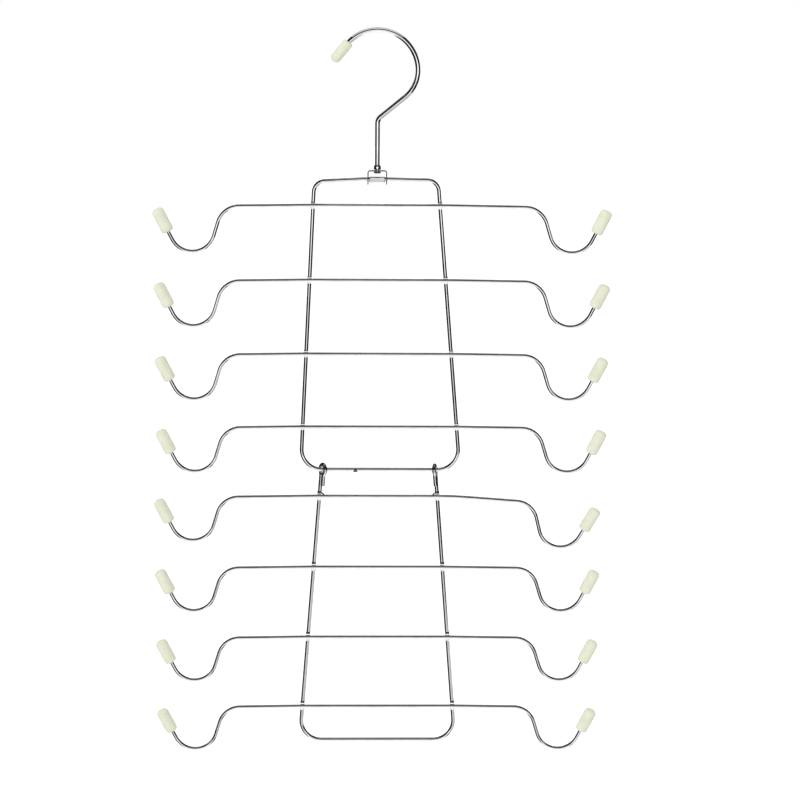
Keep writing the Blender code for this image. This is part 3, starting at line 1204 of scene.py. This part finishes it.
@dataclass(frozen=True)
class WeldPad:
    """The metal of a spot weld: a flat face between two crossed wires, with sloping ends."""

    half_length: float
    slope_length: float
    face_front: float
    slope_depth: float
    tilt: float
    across: float = 2.6 * MM
    sunk: float = 1.3 * MM
    edge_round: float = 0.12 * MM
    edge_steps: int = 3
    facing: float = 0.9
    ripple: float = 0.02 * MM
    ripple_size: float = 0.9 * MM

    def mesh(self, name: str) -> bpy.types.Object:
        """Model the pad round the middle of the gap, with its face towards the viewer.

        Args:
            name: The name of the piece.

        Returns:
            The pad.
        """
        deselect_all()
        base_front = self.face_front + self.slope_depth
        middle = -TO_THE_VIEWER * (base_front + self.sunk) / 2
        bpy.ops.mesh.primitive_cube_add(size=1.0, location=middle)
        item = new_primitive(name)
        with editing(item):
            bpy.ops.mesh.select_all(action="SELECT")
            bpy.ops.transform.resize(
                value=(self.across, self.sunk - base_front, 2 * self.half_length),
                center_override=middle,
            )
        self.select_front(item)
        share = 1 - self.slope_length / self.half_length
        with editing(item):
            bpy.ops.mesh.extrude_region_move(
                TRANSFORM_OT_translate={"value": TO_THE_VIEWER * self.slope_depth},
            )
            bpy.ops.transform.resize(value=(1, 1, share), center_override=(0, 0, 0))
            bpy.ops.transform.rotate(
                value=math.radians(self.tilt), orient_axis="X",
                center_override=TO_THE_VIEWER * -self.face_front,
            )
            bpy.ops.mesh.select_all(action="SELECT")
            bpy.ops.mesh.bevel(offset=self.edge_round, segments=self.edge_steps, affect="EDGES")
            bpy.ops.mesh.select_all(action="SELECT")
            bpy.ops.mesh.subdivide(number_cuts=1)
        texture = bpy.data.textures.new("ripple", "CLOUDS")
        texture.noise_scale = self.ripple_size
        relief = item.modifiers.new("ripple", "DISPLACE")
        relief.texture = texture
        relief.texture_coords = "LOCAL"
        relief.strength = self.ripple
        apply_modifiers(item)
        close_shell(item, crease=ROUGH_CREASE)
        return item

    def select_front(self, item: bpy.types.Object) -> None:
        """Select only the face that looks at the viewer.

        Args:
            item: The pad in the making.
        """
        for face in item.data.polygons:
            face.select = face.normal.dot(TO_THE_VIEWER) > self.facing
        for edge in item.data.edges:
            edge.select = False
        for vertex in item.data.vertices:
            vertex.select = False


@dataclass(frozen=True)
class FrameSizes:
    """Where the two frames' corners lie, from the hook's axis and the wires' axes."""

    # The height of the top wire, and the bottom corners that both frames share.
    top_wire: float = -88.75 * MM
    bottom_width: float = 100.2 * MM
    bottom_bend: float = 13.0 * MM
    # The upper frame, whose top wire is level in the middle and falls to both sides.
    upper_height: float = 182.4 * MM
    upper_top_width: float = 76.1 * MM
    upper_top_bend: float = 7.0 * MM
    level_half: float = 8.1 * MM
    fall_bend: float = 60.0 * MM
    fall_left: float = 3.0
    fall_right: float = 1.3
    # The lower frame.
    lower_height: float = 179.0 * MM
    lower_top_width: float = 71.7 * MM
    # How far the middles of their wires stand to the right of the hook's axis.
    top_side: float = -0.65 * MM
    hinge_side: float = 2.7 * MM
    lower_side: float = 1.6 * MM

    @property
    def hinge_wire(self) -> float:
        """The height of the wire on which the lower frame folds."""
        return self.top_wire - self.upper_height

    def fall(self, side: Side) -> float:
        """Tell how far the top wire falls towards a side, in degrees."""
        return self.fall_left if side is Side.LEFT else self.fall_right

    def upper_leg(self, side: Side, drop: float) -> float:
        """Find where an upper leg crosses a height.

        Args:
            side: Which leg.
            drop: How far below the top wire.

        Returns:
            The leg's place along X.
        """
        top = self.upper_top_width / 2 * side.value + self.top_side
        bottom = self.bottom_width / 2 * side.value + self.hinge_side
        return top + (bottom - top) * drop / self.upper_height

    def lower_leg(self, side: Side, drop: float) -> float:
        """Find where a lower leg crosses a height.

        Args:
            side: Which leg.
            drop: How far below the hinge wire.

        Returns:
            The leg's place along X.
        """
        grown = (self.bottom_width - self.lower_top_width) * drop / self.lower_height
        return self.lower_side + side.value * (self.lower_top_width + grown) / 2


@dataclass(frozen=True)
class UpperFrame:
    """The closed loop of wire that carries the upper arms, with its butt weld and its sleeve."""

    sizes: FrameSizes
    # The burr of the butt weld in the bottom wire.
    seam_side: float = -12.9 * MM
    seam_sag: float = 0.25 * MM
    seam_half: float = 1.5 * MM
    seam_swelling: float = 0.22 * MM
    seam_start: float = 2.125 * MM
    seam_profile: tuple[float, ...] = (-0.3, 0.3, 0.8, 1.0, 0.7, 0.2, -0.4, -0.9)
    seam_sides: int = 24
    # The sleeve on the top wire.
    sleeve_size: tuple[float, float, float] = (9.8 * MM, 2.7 * MM, 3.4 * MM)
    sleeve_sag: float = 0.25 * MM
    sleeve_round: float = 0.5 * MM
    sleeve_steps: int = 4
    sleeve_tilt: float = -10.5

    def build(self, finishes: Finishes) -> None:
        """Build and dress the upper frame.

        Args:
            finishes: The hanger's materials.
        """
        item = self.draw_loop()
        close_shell(item)
        settle(item, finishes.frame, Body.UPPER_HALF, Slot.WIRE, "upper_frame")
        seam = self.draw_seam()
        close_shell(seam, crease=ROUGH_CREASE)
        settle(seam, finishes.bare, Body.UPPER_HALF, Slot.WIRE)
        sleeve = self.crimp_sleeve()
        close_shell(sleeve)
        settle(sleeve, finishes.sheet, Body.UPPER_HALF, Slot.SHEET)

    def draw_loop(self) -> bpy.types.Object:
        """Draw the closed loop, from the middle of the top wire to the right and round.

        Returns:
            The loop.
        """
        middle = self.spot(0.0, 0.0)
        corners = self.corners(Side.RIGHT) + self.corners(Side.LEFT)[::-1]
        pen = WirePen("upper_loop", middle, TO_THE_RIGHT, FRAME_WIRE)
        pen.round_corners(corners, middle)
        pen.straight_to(middle)
        return pen.lift(closed=True)

    def corners(self, side: Side) -> list[tuple[Vector, float]]:
        """List the corners of one side, from the middle of the top wire downwards.

        Args:
            side: Which side.

        Returns:
            The sharp corners and their bend radii.
        """
        sizes = self.sizes
        top = sizes.upper_leg(side, 0.0)
        bottom = sizes.upper_leg(side, sizes.upper_height)
        drop = (abs(top) - sizes.level_half) * math.tan(math.radians(sizes.fall(side)))
        return [
            (self.spot(side.value * sizes.level_half, 0.0), sizes.fall_bend),
            (self.spot(top, drop), sizes.upper_top_bend),
            (self.spot(bottom, sizes.upper_height), sizes.bottom_bend),
        ]

    def crimp_sleeve(self) -> bpy.types.Object:
        """Form the flat-sided sleeve that is crimped on the top wire between the bracket's ears.

        Returns:
            The sleeve.
        """
        middle = self.spot(0.0, self.sleeve_sag)
        deselect_all()
        bpy.ops.mesh.primitive_cube_add(size=1.0, location=middle, scale=self.sleeve_size)
        item = new_primitive("wire_sleeve")
        with editing(item):
            bpy.ops.mesh.select_all(action="SELECT")
            bpy.ops.mesh.bevel(
                affect="EDGES", offset=self.sleeve_round, segments=self.sleeve_steps,
                profile=ROUND_PROFILE,
            )
            bpy.ops.transform.rotate(
                value=math.radians(self.sleeve_tilt), orient_axis="X", center_override=middle,
            )
        return item

    def draw_seam(self) -> bpy.types.Object:
        """Draw the burr of the butt weld, which bulges on the underside of the bottom wire.

        Returns:
            The burr.
        """
        radius = FRAME_WIRE.diameter / 2
        start = self.spot(self.seam_side - self.seam_half, self.sizes.upper_height + self.seam_sag)
        gauge = WireGauge(self.seam_start, self.seam_sides, RIGHT_ANGLE)
        pen = WirePen("loop_seam", start, TO_THE_RIGHT, gauge)
        bpy.ops.mesh.edge_face_add()
        step = 2 * self.seam_half / len(self.seam_profile)
        for swelling in self.seam_profile:
            pen.swell(step, radius + self.seam_swelling * swelling)
        return pen.lift()

    def spot(self, across: float, drop: float) -> Vector:
        """Find a place in the frame's plane from its distance to the right and its drop."""
        return Vector((across, 0, self.sizes.top_wire - drop))


@dataclass(frozen=True)
class LowerFrame:
    """The U of wire that folds, with a hairpin eye at the top of each leg."""

    sizes: FrameSizes
    left_lean: float = 30.0
    right_lean: float = 12.0
    throat_radius: float = 3.0 * MM
    tail_drop: float = 10.0 * MM
    tail_gap: float = 0.2 * MM
    tail_chamfer: float = FRAME_WIRE.diameter / 12
    tail_end_radius: float = FRAME_WIRE.diameter * 0.42

    @property
    def set_back(self) -> float:
        """How far the legs lie behind the hinge wire."""
        return (FRAME_WIRE.diameter + self.tail_gap) / 2

    def draw_half(self, side: Side, eye_lean: float) -> bpy.types.Object:
        """Draw one half from the middle of the bottom bar to the end of the eye's tail.

        Args:
            side: Which half.
            eye_lean: How far the eye's plane leans inwards, in degrees.

        Returns:
            The half.
        """
        sizes = self.sizes
        bottom = sizes.hinge_wire - sizes.lower_height
        middle = Vector((sizes.lower_side, self.set_back, bottom))
        corner = Vector((sizes.lower_leg(side, sizes.lower_height), self.set_back, bottom))
        leg_top = Vector((sizes.lower_leg(side, 0.0), self.set_back, sizes.hinge_wire))
        pen = WirePen("lower_half", middle, side.value * TO_THE_RIGHT, FRAME_WIRE)
        pen.round_corners([(corner, sizes.bottom_bend)], leg_top)

        lean = math.radians(eye_lean)
        eye_radius = (FRAME_WIRE.diameter + SEAT_GAP) / math.cos(lean)
        reach = eye_radius + self.throat_radius
        across = self.set_back / math.cos(lean) + self.throat_radius
        throat_drop = math.sqrt(reach ** 2 - across ** 2)
        throat_turn = math.degrees(math.atan2(throat_drop, across))
        pen.straight((leg_top - pen.place).length - throat_drop)

        inwards = TO_THE_VIEWER.cross(pen.heading) * side.value
        to_tail = TO_THE_VIEWER * math.cos(lean) + inwards * math.sin(lean)
        over_the_wire = pen.heading.cross(to_tail)
        pen.bend(self.throat_radius, -throat_turn, over_the_wire)
        pen.bend(eye_radius, 2 * (RIGHT_ANGLE + throat_turn), over_the_wire)
        pen.bend(self.throat_radius, -throat_turn, over_the_wire)
        pen.straight(self.tail_drop - throat_drop)
        pen.swell(self.tail_chamfer, self.tail_end_radius)
        return pen.lift()

    def build(self, finishes: Finishes) -> None:
        """Build and dress the lower frame.

        Args:
            finishes: The hanger's materials.
        """
        halves = [
            self.draw_half(Side.RIGHT, self.right_lean),
            self.draw_half(Side.LEFT, self.left_lean),
        ]
        item = join_pieces("lower_loop", halves)
        close_shell(item)
        settle(item, finishes.frame, Body.LOWER_HALF, Slot.WIRE, "lower_frame")


@dataclass(frozen=True)
class ArmShape:
    """The shape that all arms share."""

    # The wire, from the middle of the bar to the cap.
    bar: float = 176.0 * MM
    shoulder_radius: float = 14.0 * MM
    shoulder_turn: float = 72.0
    shank: float = 8.8 * MM
    dip_radius: float = 13.8 * MM
    tip_lean: float = 26.0
    bare_wire: float = 5.0 * MM
    droop: float = 0.8
    bent_droop: float = 4.3
    droop_radius: float = 250.0 * MM
    tip: SoftTip = SoftTip(
        ARM_WIRE, diameter=7.8 * MM, length=16.0 * MM, end_rounding=0.7, mouth_round=1.9 * MM,
    )
    stand_off: float = (FRAME_WIRE.diameter + ARM_WIRE.diameter) / 2 + SEAT_GAP


@dataclass(frozen=True)
class WeldSpur:
    """A bead of metal that ran into the corner between a leg and a bar.

    Its sizes are shares of half the arm wire's thickness.
    """

    inwards: float = 1.25
    above: float = 1.9
    step: float = 0.32
    start: float = 0.2
    profile: tuple[float, ...] = (0.3, 0.4, 0.42, 0.4, 0.34, 0.2)
    sides: int = 16

    def draw(self, side: Side, crossing: Vector) -> bpy.types.Object:
        """Draw the bead down into the corner.

        Args:
            side: Which leg.
            crossing: Where the leg and the bar cross.

        Returns:
            The bead.
        """
        thick = ARM_WIRE.diameter / 2
        inwards = -side.value * TO_THE_RIGHT
        start = crossing + inwards * self.inwards * thick + UP * self.above * thick
        gauge = WireGauge(2 * self.start * thick, self.sides, RIGHT_ANGLE)
        pen = WirePen(f"spur_{side.word}", start, inwards - UP, gauge)
        bpy.ops.mesh.edge_face_add()
        for share in self.profile:
            pen.swell(self.step * thick, share * thick)
        return pen.lift()


@dataclass(frozen=True)
class Arm:
    """One arm with its two tips and the welds that hold it."""

    tier: int
    place: Vector
    legs: tuple[float, float]
    shape: ArmShape
    bent: bool
    spur: WeldSpur = WeldSpur()

    @property
    def body(self) -> Body:
        """The body that the arm is welded to."""
        return Body.UPPER_HALF if self.tier <= ArmSet.ARMS_PER_FRAME else Body.LOWER_HALF

    @property
    def leg_reach(self) -> float:
        """How far each leg stands from the middle between the two."""
        left, right = self.legs
        return (right - left) / 2

    @property
    def node(self) -> str:
        """The name of the arm's part."""
        half = "upper" if self.body is Body.UPPER_HALF else "lower"
        return f"{half}_arm_{self.tier}"

    def draw_half(self, side: Side) -> tuple[bpy.types.Object, Matrix]:
        """Draw one half of the arm, from the middle of its bar to the end inside the tip.

        Args:
            side: Which half.

        Returns:
            The half, and the placing of its tip.
        """
        shape = self.shape
        droop = shape.bent_droop if self.bent and side is Side.RIGHT else shape.droop
        turn = side.value
        pen = WirePen("arm_half", self.place, turn * TO_THE_RIGHT, ARM_WIRE)
        pen.straight(self.leg_reach)
        pen.bend(shape.droop_radius, -droop * turn)
        pen.straight(shape.bar / 2 - abs(pen.place.x - self.place.x))
        pen.bend(shape.shoulder_radius, -shape.shoulder_turn * turn)
        pen.straight(shape.shank)
        pen.bend(shape.dip_radius, (shape.shoulder_turn + RIGHT_ANGLE - shape.tip_lean) * turn)
        pen.straight(shape.bare_wire)
        placing = shape.tip.placing(pen.place, pen.heading)
        pen.straight(shape.tip.grip)
        return pen.lift(), placing

    def build(self, cap: bpy.types.Object, pad: bpy.types.Object, finishes: Finishes) -> None:
        """Build and dress the arm, its tips and its welds.

        Args:
            cap: The cap that is copied to both ends.
            pad: The weld that is copied to both legs.
            finishes: The hanger's materials.
        """
        halves = []
        for side in Side:
            half, placing = self.draw_half(side)
            halves.append(half)
            copy = copy_to(cap, f"cap_{self.tier}_{side.word}", placing)
            settle(copy, finishes.vinyl, self.body, Slot.TIP, f"tip_{self.tier}_{side.word}")
        wire = join_pieces(f"arm_{self.tier}", halves)
        close_shell(wire)
        settle(wire, finishes.arm, self.body, Slot.WIRE, self.node)
        gap_middle = self.place.y + ARM_WIRE.diameter / 2 + SEAT_GAP / 2
        for side, leg in zip(Side, self.legs):
            crossing = Vector((leg, gap_middle, self.place.z))
            weld = copy_to(
                pad, f"weld_{self.tier}_{side.word}", Matrix.Translation(crossing),
            )
            settle(weld, finishes.weld, self.body, Slot.WIRE)
            if self.bent:
                spur = self.spur.draw(side, crossing)
                close_shell(spur, crease=ROUGH_CREASE)
                settle(spur, finishes.bare, self.body, Slot.WIRE)


@dataclass(frozen=True)
class ArmSet:
    """The eight arms, four on each frame."""

    sizes: FrameSizes
    set_back: float
    shape: ArmShape = ArmShape()
    # Where the arms stand on their frames.
    pitch: float = 46.2 * MM
    first_drop: float = 16.0 * MM
    fifth_drop: float = 17.0 * MM
    upper_side: float = 3.35 * MM
    lower_side: float = 1.35 * MM
    bent_tier: int = 5
    # Their welds.
    upper_weld: WeldPad = WeldPad(
        half_length=2.2 * MM, slope_length=0.45 * MM, face_front=-0.2 * MM, slope_depth=0.25 * MM,
        tilt=3.5,
    )
    lower_weld: WeldPad = WeldPad(
        half_length=3.0 * MM, slope_length=1.1 * MM, face_front=-0.45 * MM, slope_depth=0.6 * MM,
        tilt=8.0,
    )

    ARMS_PER_FRAME = 4

    def upper_arm(self, row: int) -> Arm:
        """Lay out one of the upper arms.

        Args:
            row: Its row, counted from the top of the frame.

        Returns:
            The arm.
        """
        sizes = self.sizes
        drop = self.first_drop + row * self.pitch
        legs = (sizes.upper_leg(Side.LEFT, drop), sizes.upper_leg(Side.RIGHT, drop))
        place = Vector((self.upper_side, -self.shape.stand_off, sizes.top_wire - drop))
        return Arm(row + 1, place, legs, self.shape, bent=False)

    def lower_arm(self, row: int) -> Arm:
        """Lay out one of the lower arms.

        Args:
            row: Its row, counted from the top of the frame.

        Returns:
            The arm.
        """
        sizes = self.sizes
        tier = self.ARMS_PER_FRAME + row + 1
        drop = self.fifth_drop + row * self.pitch
        legs = (sizes.lower_leg(Side.LEFT, drop), sizes.lower_leg(Side.RIGHT, drop))
        depth = self.set_back - self.shape.stand_off
        place = Vector((self.lower_side, depth, sizes.hinge_wire - drop))
        return Arm(tier, place, legs, self.shape, bent=tier == self.bent_tier)

    def build(self, finishes: Finishes) -> None:
        """Build and dress all arms.

        Args:
            finishes: The hanger's materials.
        """
        cap = self.shape.tip.mesh("cap")
        close_shell(cap)
        flat_pad = self.upper_weld.mesh("flat_weld")
        long_pad = self.lower_weld.mesh("long_weld")
        for row in range(self.ARMS_PER_FRAME):
            self.upper_arm(row).build(cap, flat_pad, finishes)
        for row in range(self.ARMS_PER_FRAME):
            self.lower_arm(row).build(cap, long_pad, finishes)
        for model in (cap, flat_pad, long_pad):
            bpy.data.objects.remove(model, do_unlink=True)


@dataclass(frozen=True)
class MirrorLook:
    """What bright metal mirrors: a white lane in the dark, from just above eye level downwards.

    Its sizes are parts of a unit direction. The lane is narrowest at its waist, widens above
    and below it, and opens once more at eye level. A grey shade lies across its middle.
    """

    # The lane.
    lane_half: float = 0.27
    lane_waist: float = 0.17
    lane_spread: float = 12.0
    lane_widest: float = 0.42
    lane_opening: float = 0.10
    opening_start: float = 0.11
    opening_end: float = 0.05
    lane_blur: float = 0.07
    lane_rise: float = 0.08
    lane_level: float = 1.25
    # The shade across it, and the steep directions where it ends.
    shade: float = 0.44
    shade_start: float = 0.10
    shade_end: float = 0.36
    steep_start: float = 0.62
    steep_end: float = 0.86
    # The faint light high above, and the dark all round.
    top_start: float = 0.80
    top_end: float = 0.95
    top_level: float = 0.20
    dark_level: float = 0.015


@dataclass(frozen=True)
class SoftLook:
    """The levels of the soft light on dull surfaces."""

    even_level: float = 0.74
    front_level: float = 0.52
    left_level: float = 0.36


class Surroundings:
    """The light from all around: white for the camera, and formed for metal and vinyl."""

    def __init__(self) -> None:
        """Make an empty world."""
        self.world = bpy.data.worlds.new("studio")
        self.world.use_nodes = True
        self.tree = self.world.node_tree
        self.tree.nodes.clear()

    def feed(self, socket: bpy.types.NodeSocket, value: bpy.types.NodeSocket | float) -> None:
        """Give a socket its value.

        Args:
            socket: The socket.
            value: Another socket that it follows, or a number.
        """
        if isinstance(value, bpy.types.NodeSocket):
            self.tree.links.new(value, socket)
        else:
            socket.default_value = value

    def maths(
        self, operation: str, *values: bpy.types.NodeSocket | float,
    ) -> bpy.types.NodeSocket:
        """Work out a value.

        Args:
            operation: What to do.
            values: With what.

        Returns:
            The result.
        """
        node = self.tree.nodes.new("ShaderNodeMath")
        node.operation = operation
        for socket, value in zip(node.inputs, values):
            self.feed(socket, value)
        return node.outputs["Value"]

    def total(self, *values: bpy.types.NodeSocket | float) -> bpy.types.NodeSocket:
        """Add values up.

        Args:
            values: The values.

        Returns:
            Their sum.
        """
        result = values[0]
        for value in values[1:]:
            result = self.maths("ADD", result, value)
        return result

    def minus(self, value: bpy.types.NodeSocket) -> bpy.types.NodeSocket:
        """Turn a value's sign."""
        return self.maths("MULTIPLY", value, -1.0)

    def square(self, value: bpy.types.NodeSocket) -> bpy.types.NodeSocket:
        """Multiply a value by itself."""
        return self.maths("MULTIPLY", value, value)

    def step(self, value: bpy.types.NodeSocket, low: float, high: float) -> bpy.types.NodeSocket:
        """Turn a value to a smooth step.

        Args:
            value: The value.
            low: Where the step starts.
            high: Where it ends.

        Returns:
            The step, from 0 to 1.
        """
        node = self.tree.nodes.new("ShaderNodeMapRange")
        node.interpolation_type = "SMOOTHSTEP"
        for socket, number in zip(("Value", "From Min", "From Max"), (value, low, high)):
            self.feed(node.inputs[socket], number)
        return node.outputs["Result"]

    def for_metal(
        self, across: bpy.types.NodeSocket, down: bpy.types.NodeSocket, look: MirrorLook,
    ) -> bpy.types.NodeSocket:
        """Form what the bright metal mirrors: a white lane with a grey belt, and dark sides.

        Args:
            across: The direction's part along X.
            down: Its part downwards.
            look: The lane's sizes and levels.

        Returns:
            The brightness in each direction.
        """
        from_waist = self.maths("SUBTRACT", down, look.lane_waist)
        widening = self.maths("MULTIPLY", self.square(from_waist), look.lane_spread)
        narrow = self.maths("MINIMUM", self.total(widening, look.lane_half), look.lane_widest)
        at_eye_level = self.step(down, look.opening_start, look.opening_end)
        half_lane = self.total(narrow, self.maths("MULTIPLY", at_eye_level, look.lane_opening))
        inside = self.maths("SUBTRACT", half_lane, self.maths("ABSOLUTE", across))
        lane = self.step(inside, -look.lane_blur, look.lane_blur)
        low = self.step(down, -look.lane_rise - look.lane_blur, -look.lane_rise + look.lane_blur)
        depth = self.step(down, look.shade_start, look.shade_end)
        steep = self.step(down, look.steep_start, look.steep_end)
        belt = self.maths("SUBTRACT", depth, steep)
        fade = self.maths("MULTIPLY", belt, look.lane_level * look.shade)
        white = self.maths("SUBTRACT", look.lane_level, fade)
        top = self.step(down, -look.top_start, -look.top_end)
        return self.total(
            self.maths("MULTIPLY", self.maths("MULTIPLY", lane, low), white),
            self.maths("MULTIPLY", top, look.top_level),
            look.dark_level,
        )

    def for_vinyl(
        self, across: bpy.types.NodeSocket, along: bpy.types.NodeSocket, look: SoftLook,
    ) -> bpy.types.NodeSocket:
        """Form the soft light: most of it from the front, and more from the left.

        Args:
            across: The direction's part along X.
            along: Its part along Y.
            look: The light's levels.

        Returns:
            The brightness in each direction.
        """
        front = self.maths("MAXIMUM", self.minus(along), 0.0)
        left = self.maths("MAXIMUM", self.minus(across), 0.0)
        return self.total(
            self.maths("MULTIPLY", self.square(front), look.front_level),
            self.maths("MULTIPLY", left, look.left_level),
            look.even_level,
        )

    def build(self, mirror: MirrorLook, soft: SoftLook) -> bpy.types.World:
        """Build the world's light.

        Args:
            mirror: What bright metal mirrors.
            soft: What lights dull surfaces.

        Returns:
            The world.
        """
        axes = self.tree.nodes.new("ShaderNodeSeparateXYZ")
        coordinates = self.tree.nodes.new("ShaderNodeTexCoord")
        self.feed(axes.inputs["Vector"], coordinates.outputs["Generated"])
        across = axes.outputs["X"]
        down = self.minus(axes.outputs["Z"])
        metal = self.for_metal(across, down, mirror)
        vinyl = self.for_vinyl(across, axes.outputs["Y"], soft)
        path = self.tree.nodes.new("ShaderNodeLightPath")
        more_for_metal = self.maths("SUBTRACT", metal, vinyl)
        more_for_camera = self.maths("SUBTRACT", 1.0, vinyl)
        strength = self.total(
            vinyl,
            self.maths("MULTIPLY", path.outputs["Is Glossy Ray"], more_for_metal),
            self.maths("MULTIPLY", path.outputs["Is Camera Ray"], more_for_camera),
        )
        background = self.tree.nodes.new("ShaderNodeBackground")
        background.inputs["Color"].default_value = WHITE
        self.feed(background.inputs["Strength"], strength)
        output = self.tree.nodes.new("ShaderNodeOutputWorld")
        self.feed(output.inputs["Surface"], background.outputs["Background"])
        return self.world


@dataclass(frozen=True)
class SoftBox:
    """A soft box: where it stands, which way it faces, how large and how bright it is."""

    place: Vector
    facing: Vector
    width: float
    height: float
    brightness: float


@dataclass(frozen=True)
class Studio:
    """A pale floor, soft light with dark sides for the chrome, and the camera."""

    # The camera.
    camera_place: Vector = Vector((-12.78 * MM, -1231.79 * MM, 1.11 * MM))
    pitch: float = -10.465
    yaw: float = -1.286
    roll: float = -0.39
    lens: float = 90.0
    # The floor.
    floor_height: float = -1.2
    floor_size: float = 40.0
    # The lights.
    key_place: Vector = Vector((-1.1, -1.6, 1.5))
    key_target: Vector = Vector((0, 0, -0.25))
    key_size: float = 1.2
    key_power: float = 6.0
    side_box: SoftBox = SoftBox(
        Vector((0.6, -0.1, -0.85)), facing=-TO_THE_RIGHT, width=1.6, height=0.7, brightness=0.59,
    )
    hook_box: SoftBox = SoftBox(
        Vector((0, 0, 22 * MM)), facing=-UP, width=70 * MM, height=36 * MM, brightness=0.58,
    )

    def add_camera(self) -> None:
        """Add the camera at the photograph's place and angle."""
        data = bpy.data.cameras.new("camera")
        data.lens = self.lens
        camera = bpy.data.objects.new("camera", data)
        bpy.context.scene.collection.objects.link(camera)
        turns = (
            turned(self.yaw, "Z") @ turned(self.pitch, "X") @ turned(self.roll, "Y")
            @ turned(RIGHT_ANGLE, "X")
        )
        camera.matrix_world = Matrix.Translation(self.camera_place) @ turns
        bpy.context.scene.camera = camera

    def add_floor(self) -> None:
        """Add the pale floor, far below the hanging hanger."""
        deselect_all()
        bpy.ops.mesh.primitive_plane_add(size=self.floor_size, location=(0, 0, self.floor_height))
        floor = new_primitive("floor")
        floor.data.materials.append(FloorFinish().material())
        floor.visible_glossy = False
        floor.visible_diffuse = False

    def hang_light(
        self, data: bpy.types.AreaLight, place: Vector, facing: Vector,
    ) -> bpy.types.Object:
        """Hang a light that the camera itself doesn't see.

        Args:
            data: The light's size and power.
            place: Where it hangs.
            facing: The direction in which it shines.

        Returns:
            The light.
        """
        light = bpy.data.objects.new(data.name, data)
        bpy.context.scene.collection.objects.link(light)
        light.location = place
        light.rotation_euler = facing.to_track_quat("-Z", "Y").to_euler()
        light.visible_camera = False
        return light

    def add_key_light(self) -> None:
        """Add the soft light from the upper left."""
        data = bpy.data.lights.new("key", "AREA")
        data.size = self.key_size
        data.energy = self.key_power
        light = self.hang_light(data, self.key_place, self.key_target - self.key_place)
        light.visible_glossy = False

    def add_soft_box(self, name: str, box: SoftBox) -> None:
        """Add a soft box that only shows in the bright metal.

        Args:
            name: The name of the light.
            box: Its place, size and brightness.
        """
        data = bpy.data.lights.new(name, "AREA")
        data.shape = "RECTANGLE"
        data.size = box.width
        data.size_y = box.height
        data.energy = box.brightness * math.pi * box.width * box.height
        light = self.hang_light(data, box.place, box.facing)
        light.visible_diffuse = False

    def build(self) -> None:
        """Set up the studio."""
        bpy.context.scene.view_settings.view_transform = "Standard"
        self.add_camera()
        self.add_floor()
        self.add_key_light()
        self.add_soft_box("side_box", self.side_box)
        self.add_soft_box("hook_box", self.hook_box)
        bpy.context.scene.world = Surroundings().build(MirrorLook(), SoftLook())


def main() -> None:
    """Build and dress the hanger from the hook down, and set up the studio."""
    logging.basicConfig(level=logging.INFO, format="%(name)s: %(message)s")
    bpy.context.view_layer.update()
    finishes = Finishes.make()
    sizes = FrameSizes()
    bracket = Bracket(sizes.top_wire)
    lower_frame = LowerFrame(sizes)

    Hook().build(bracket, finishes)
    bracket.build(finishes)
    UpperFrame(sizes).build(finishes)
    lower_frame.build(finishes)
    ArmSet(sizes, lower_frame.set_back).build(finishes)
    Studio().build()

    LOG.info("dressed %d parts", len(frame["nodes"]))


if __name__ == "__main__":
    main()
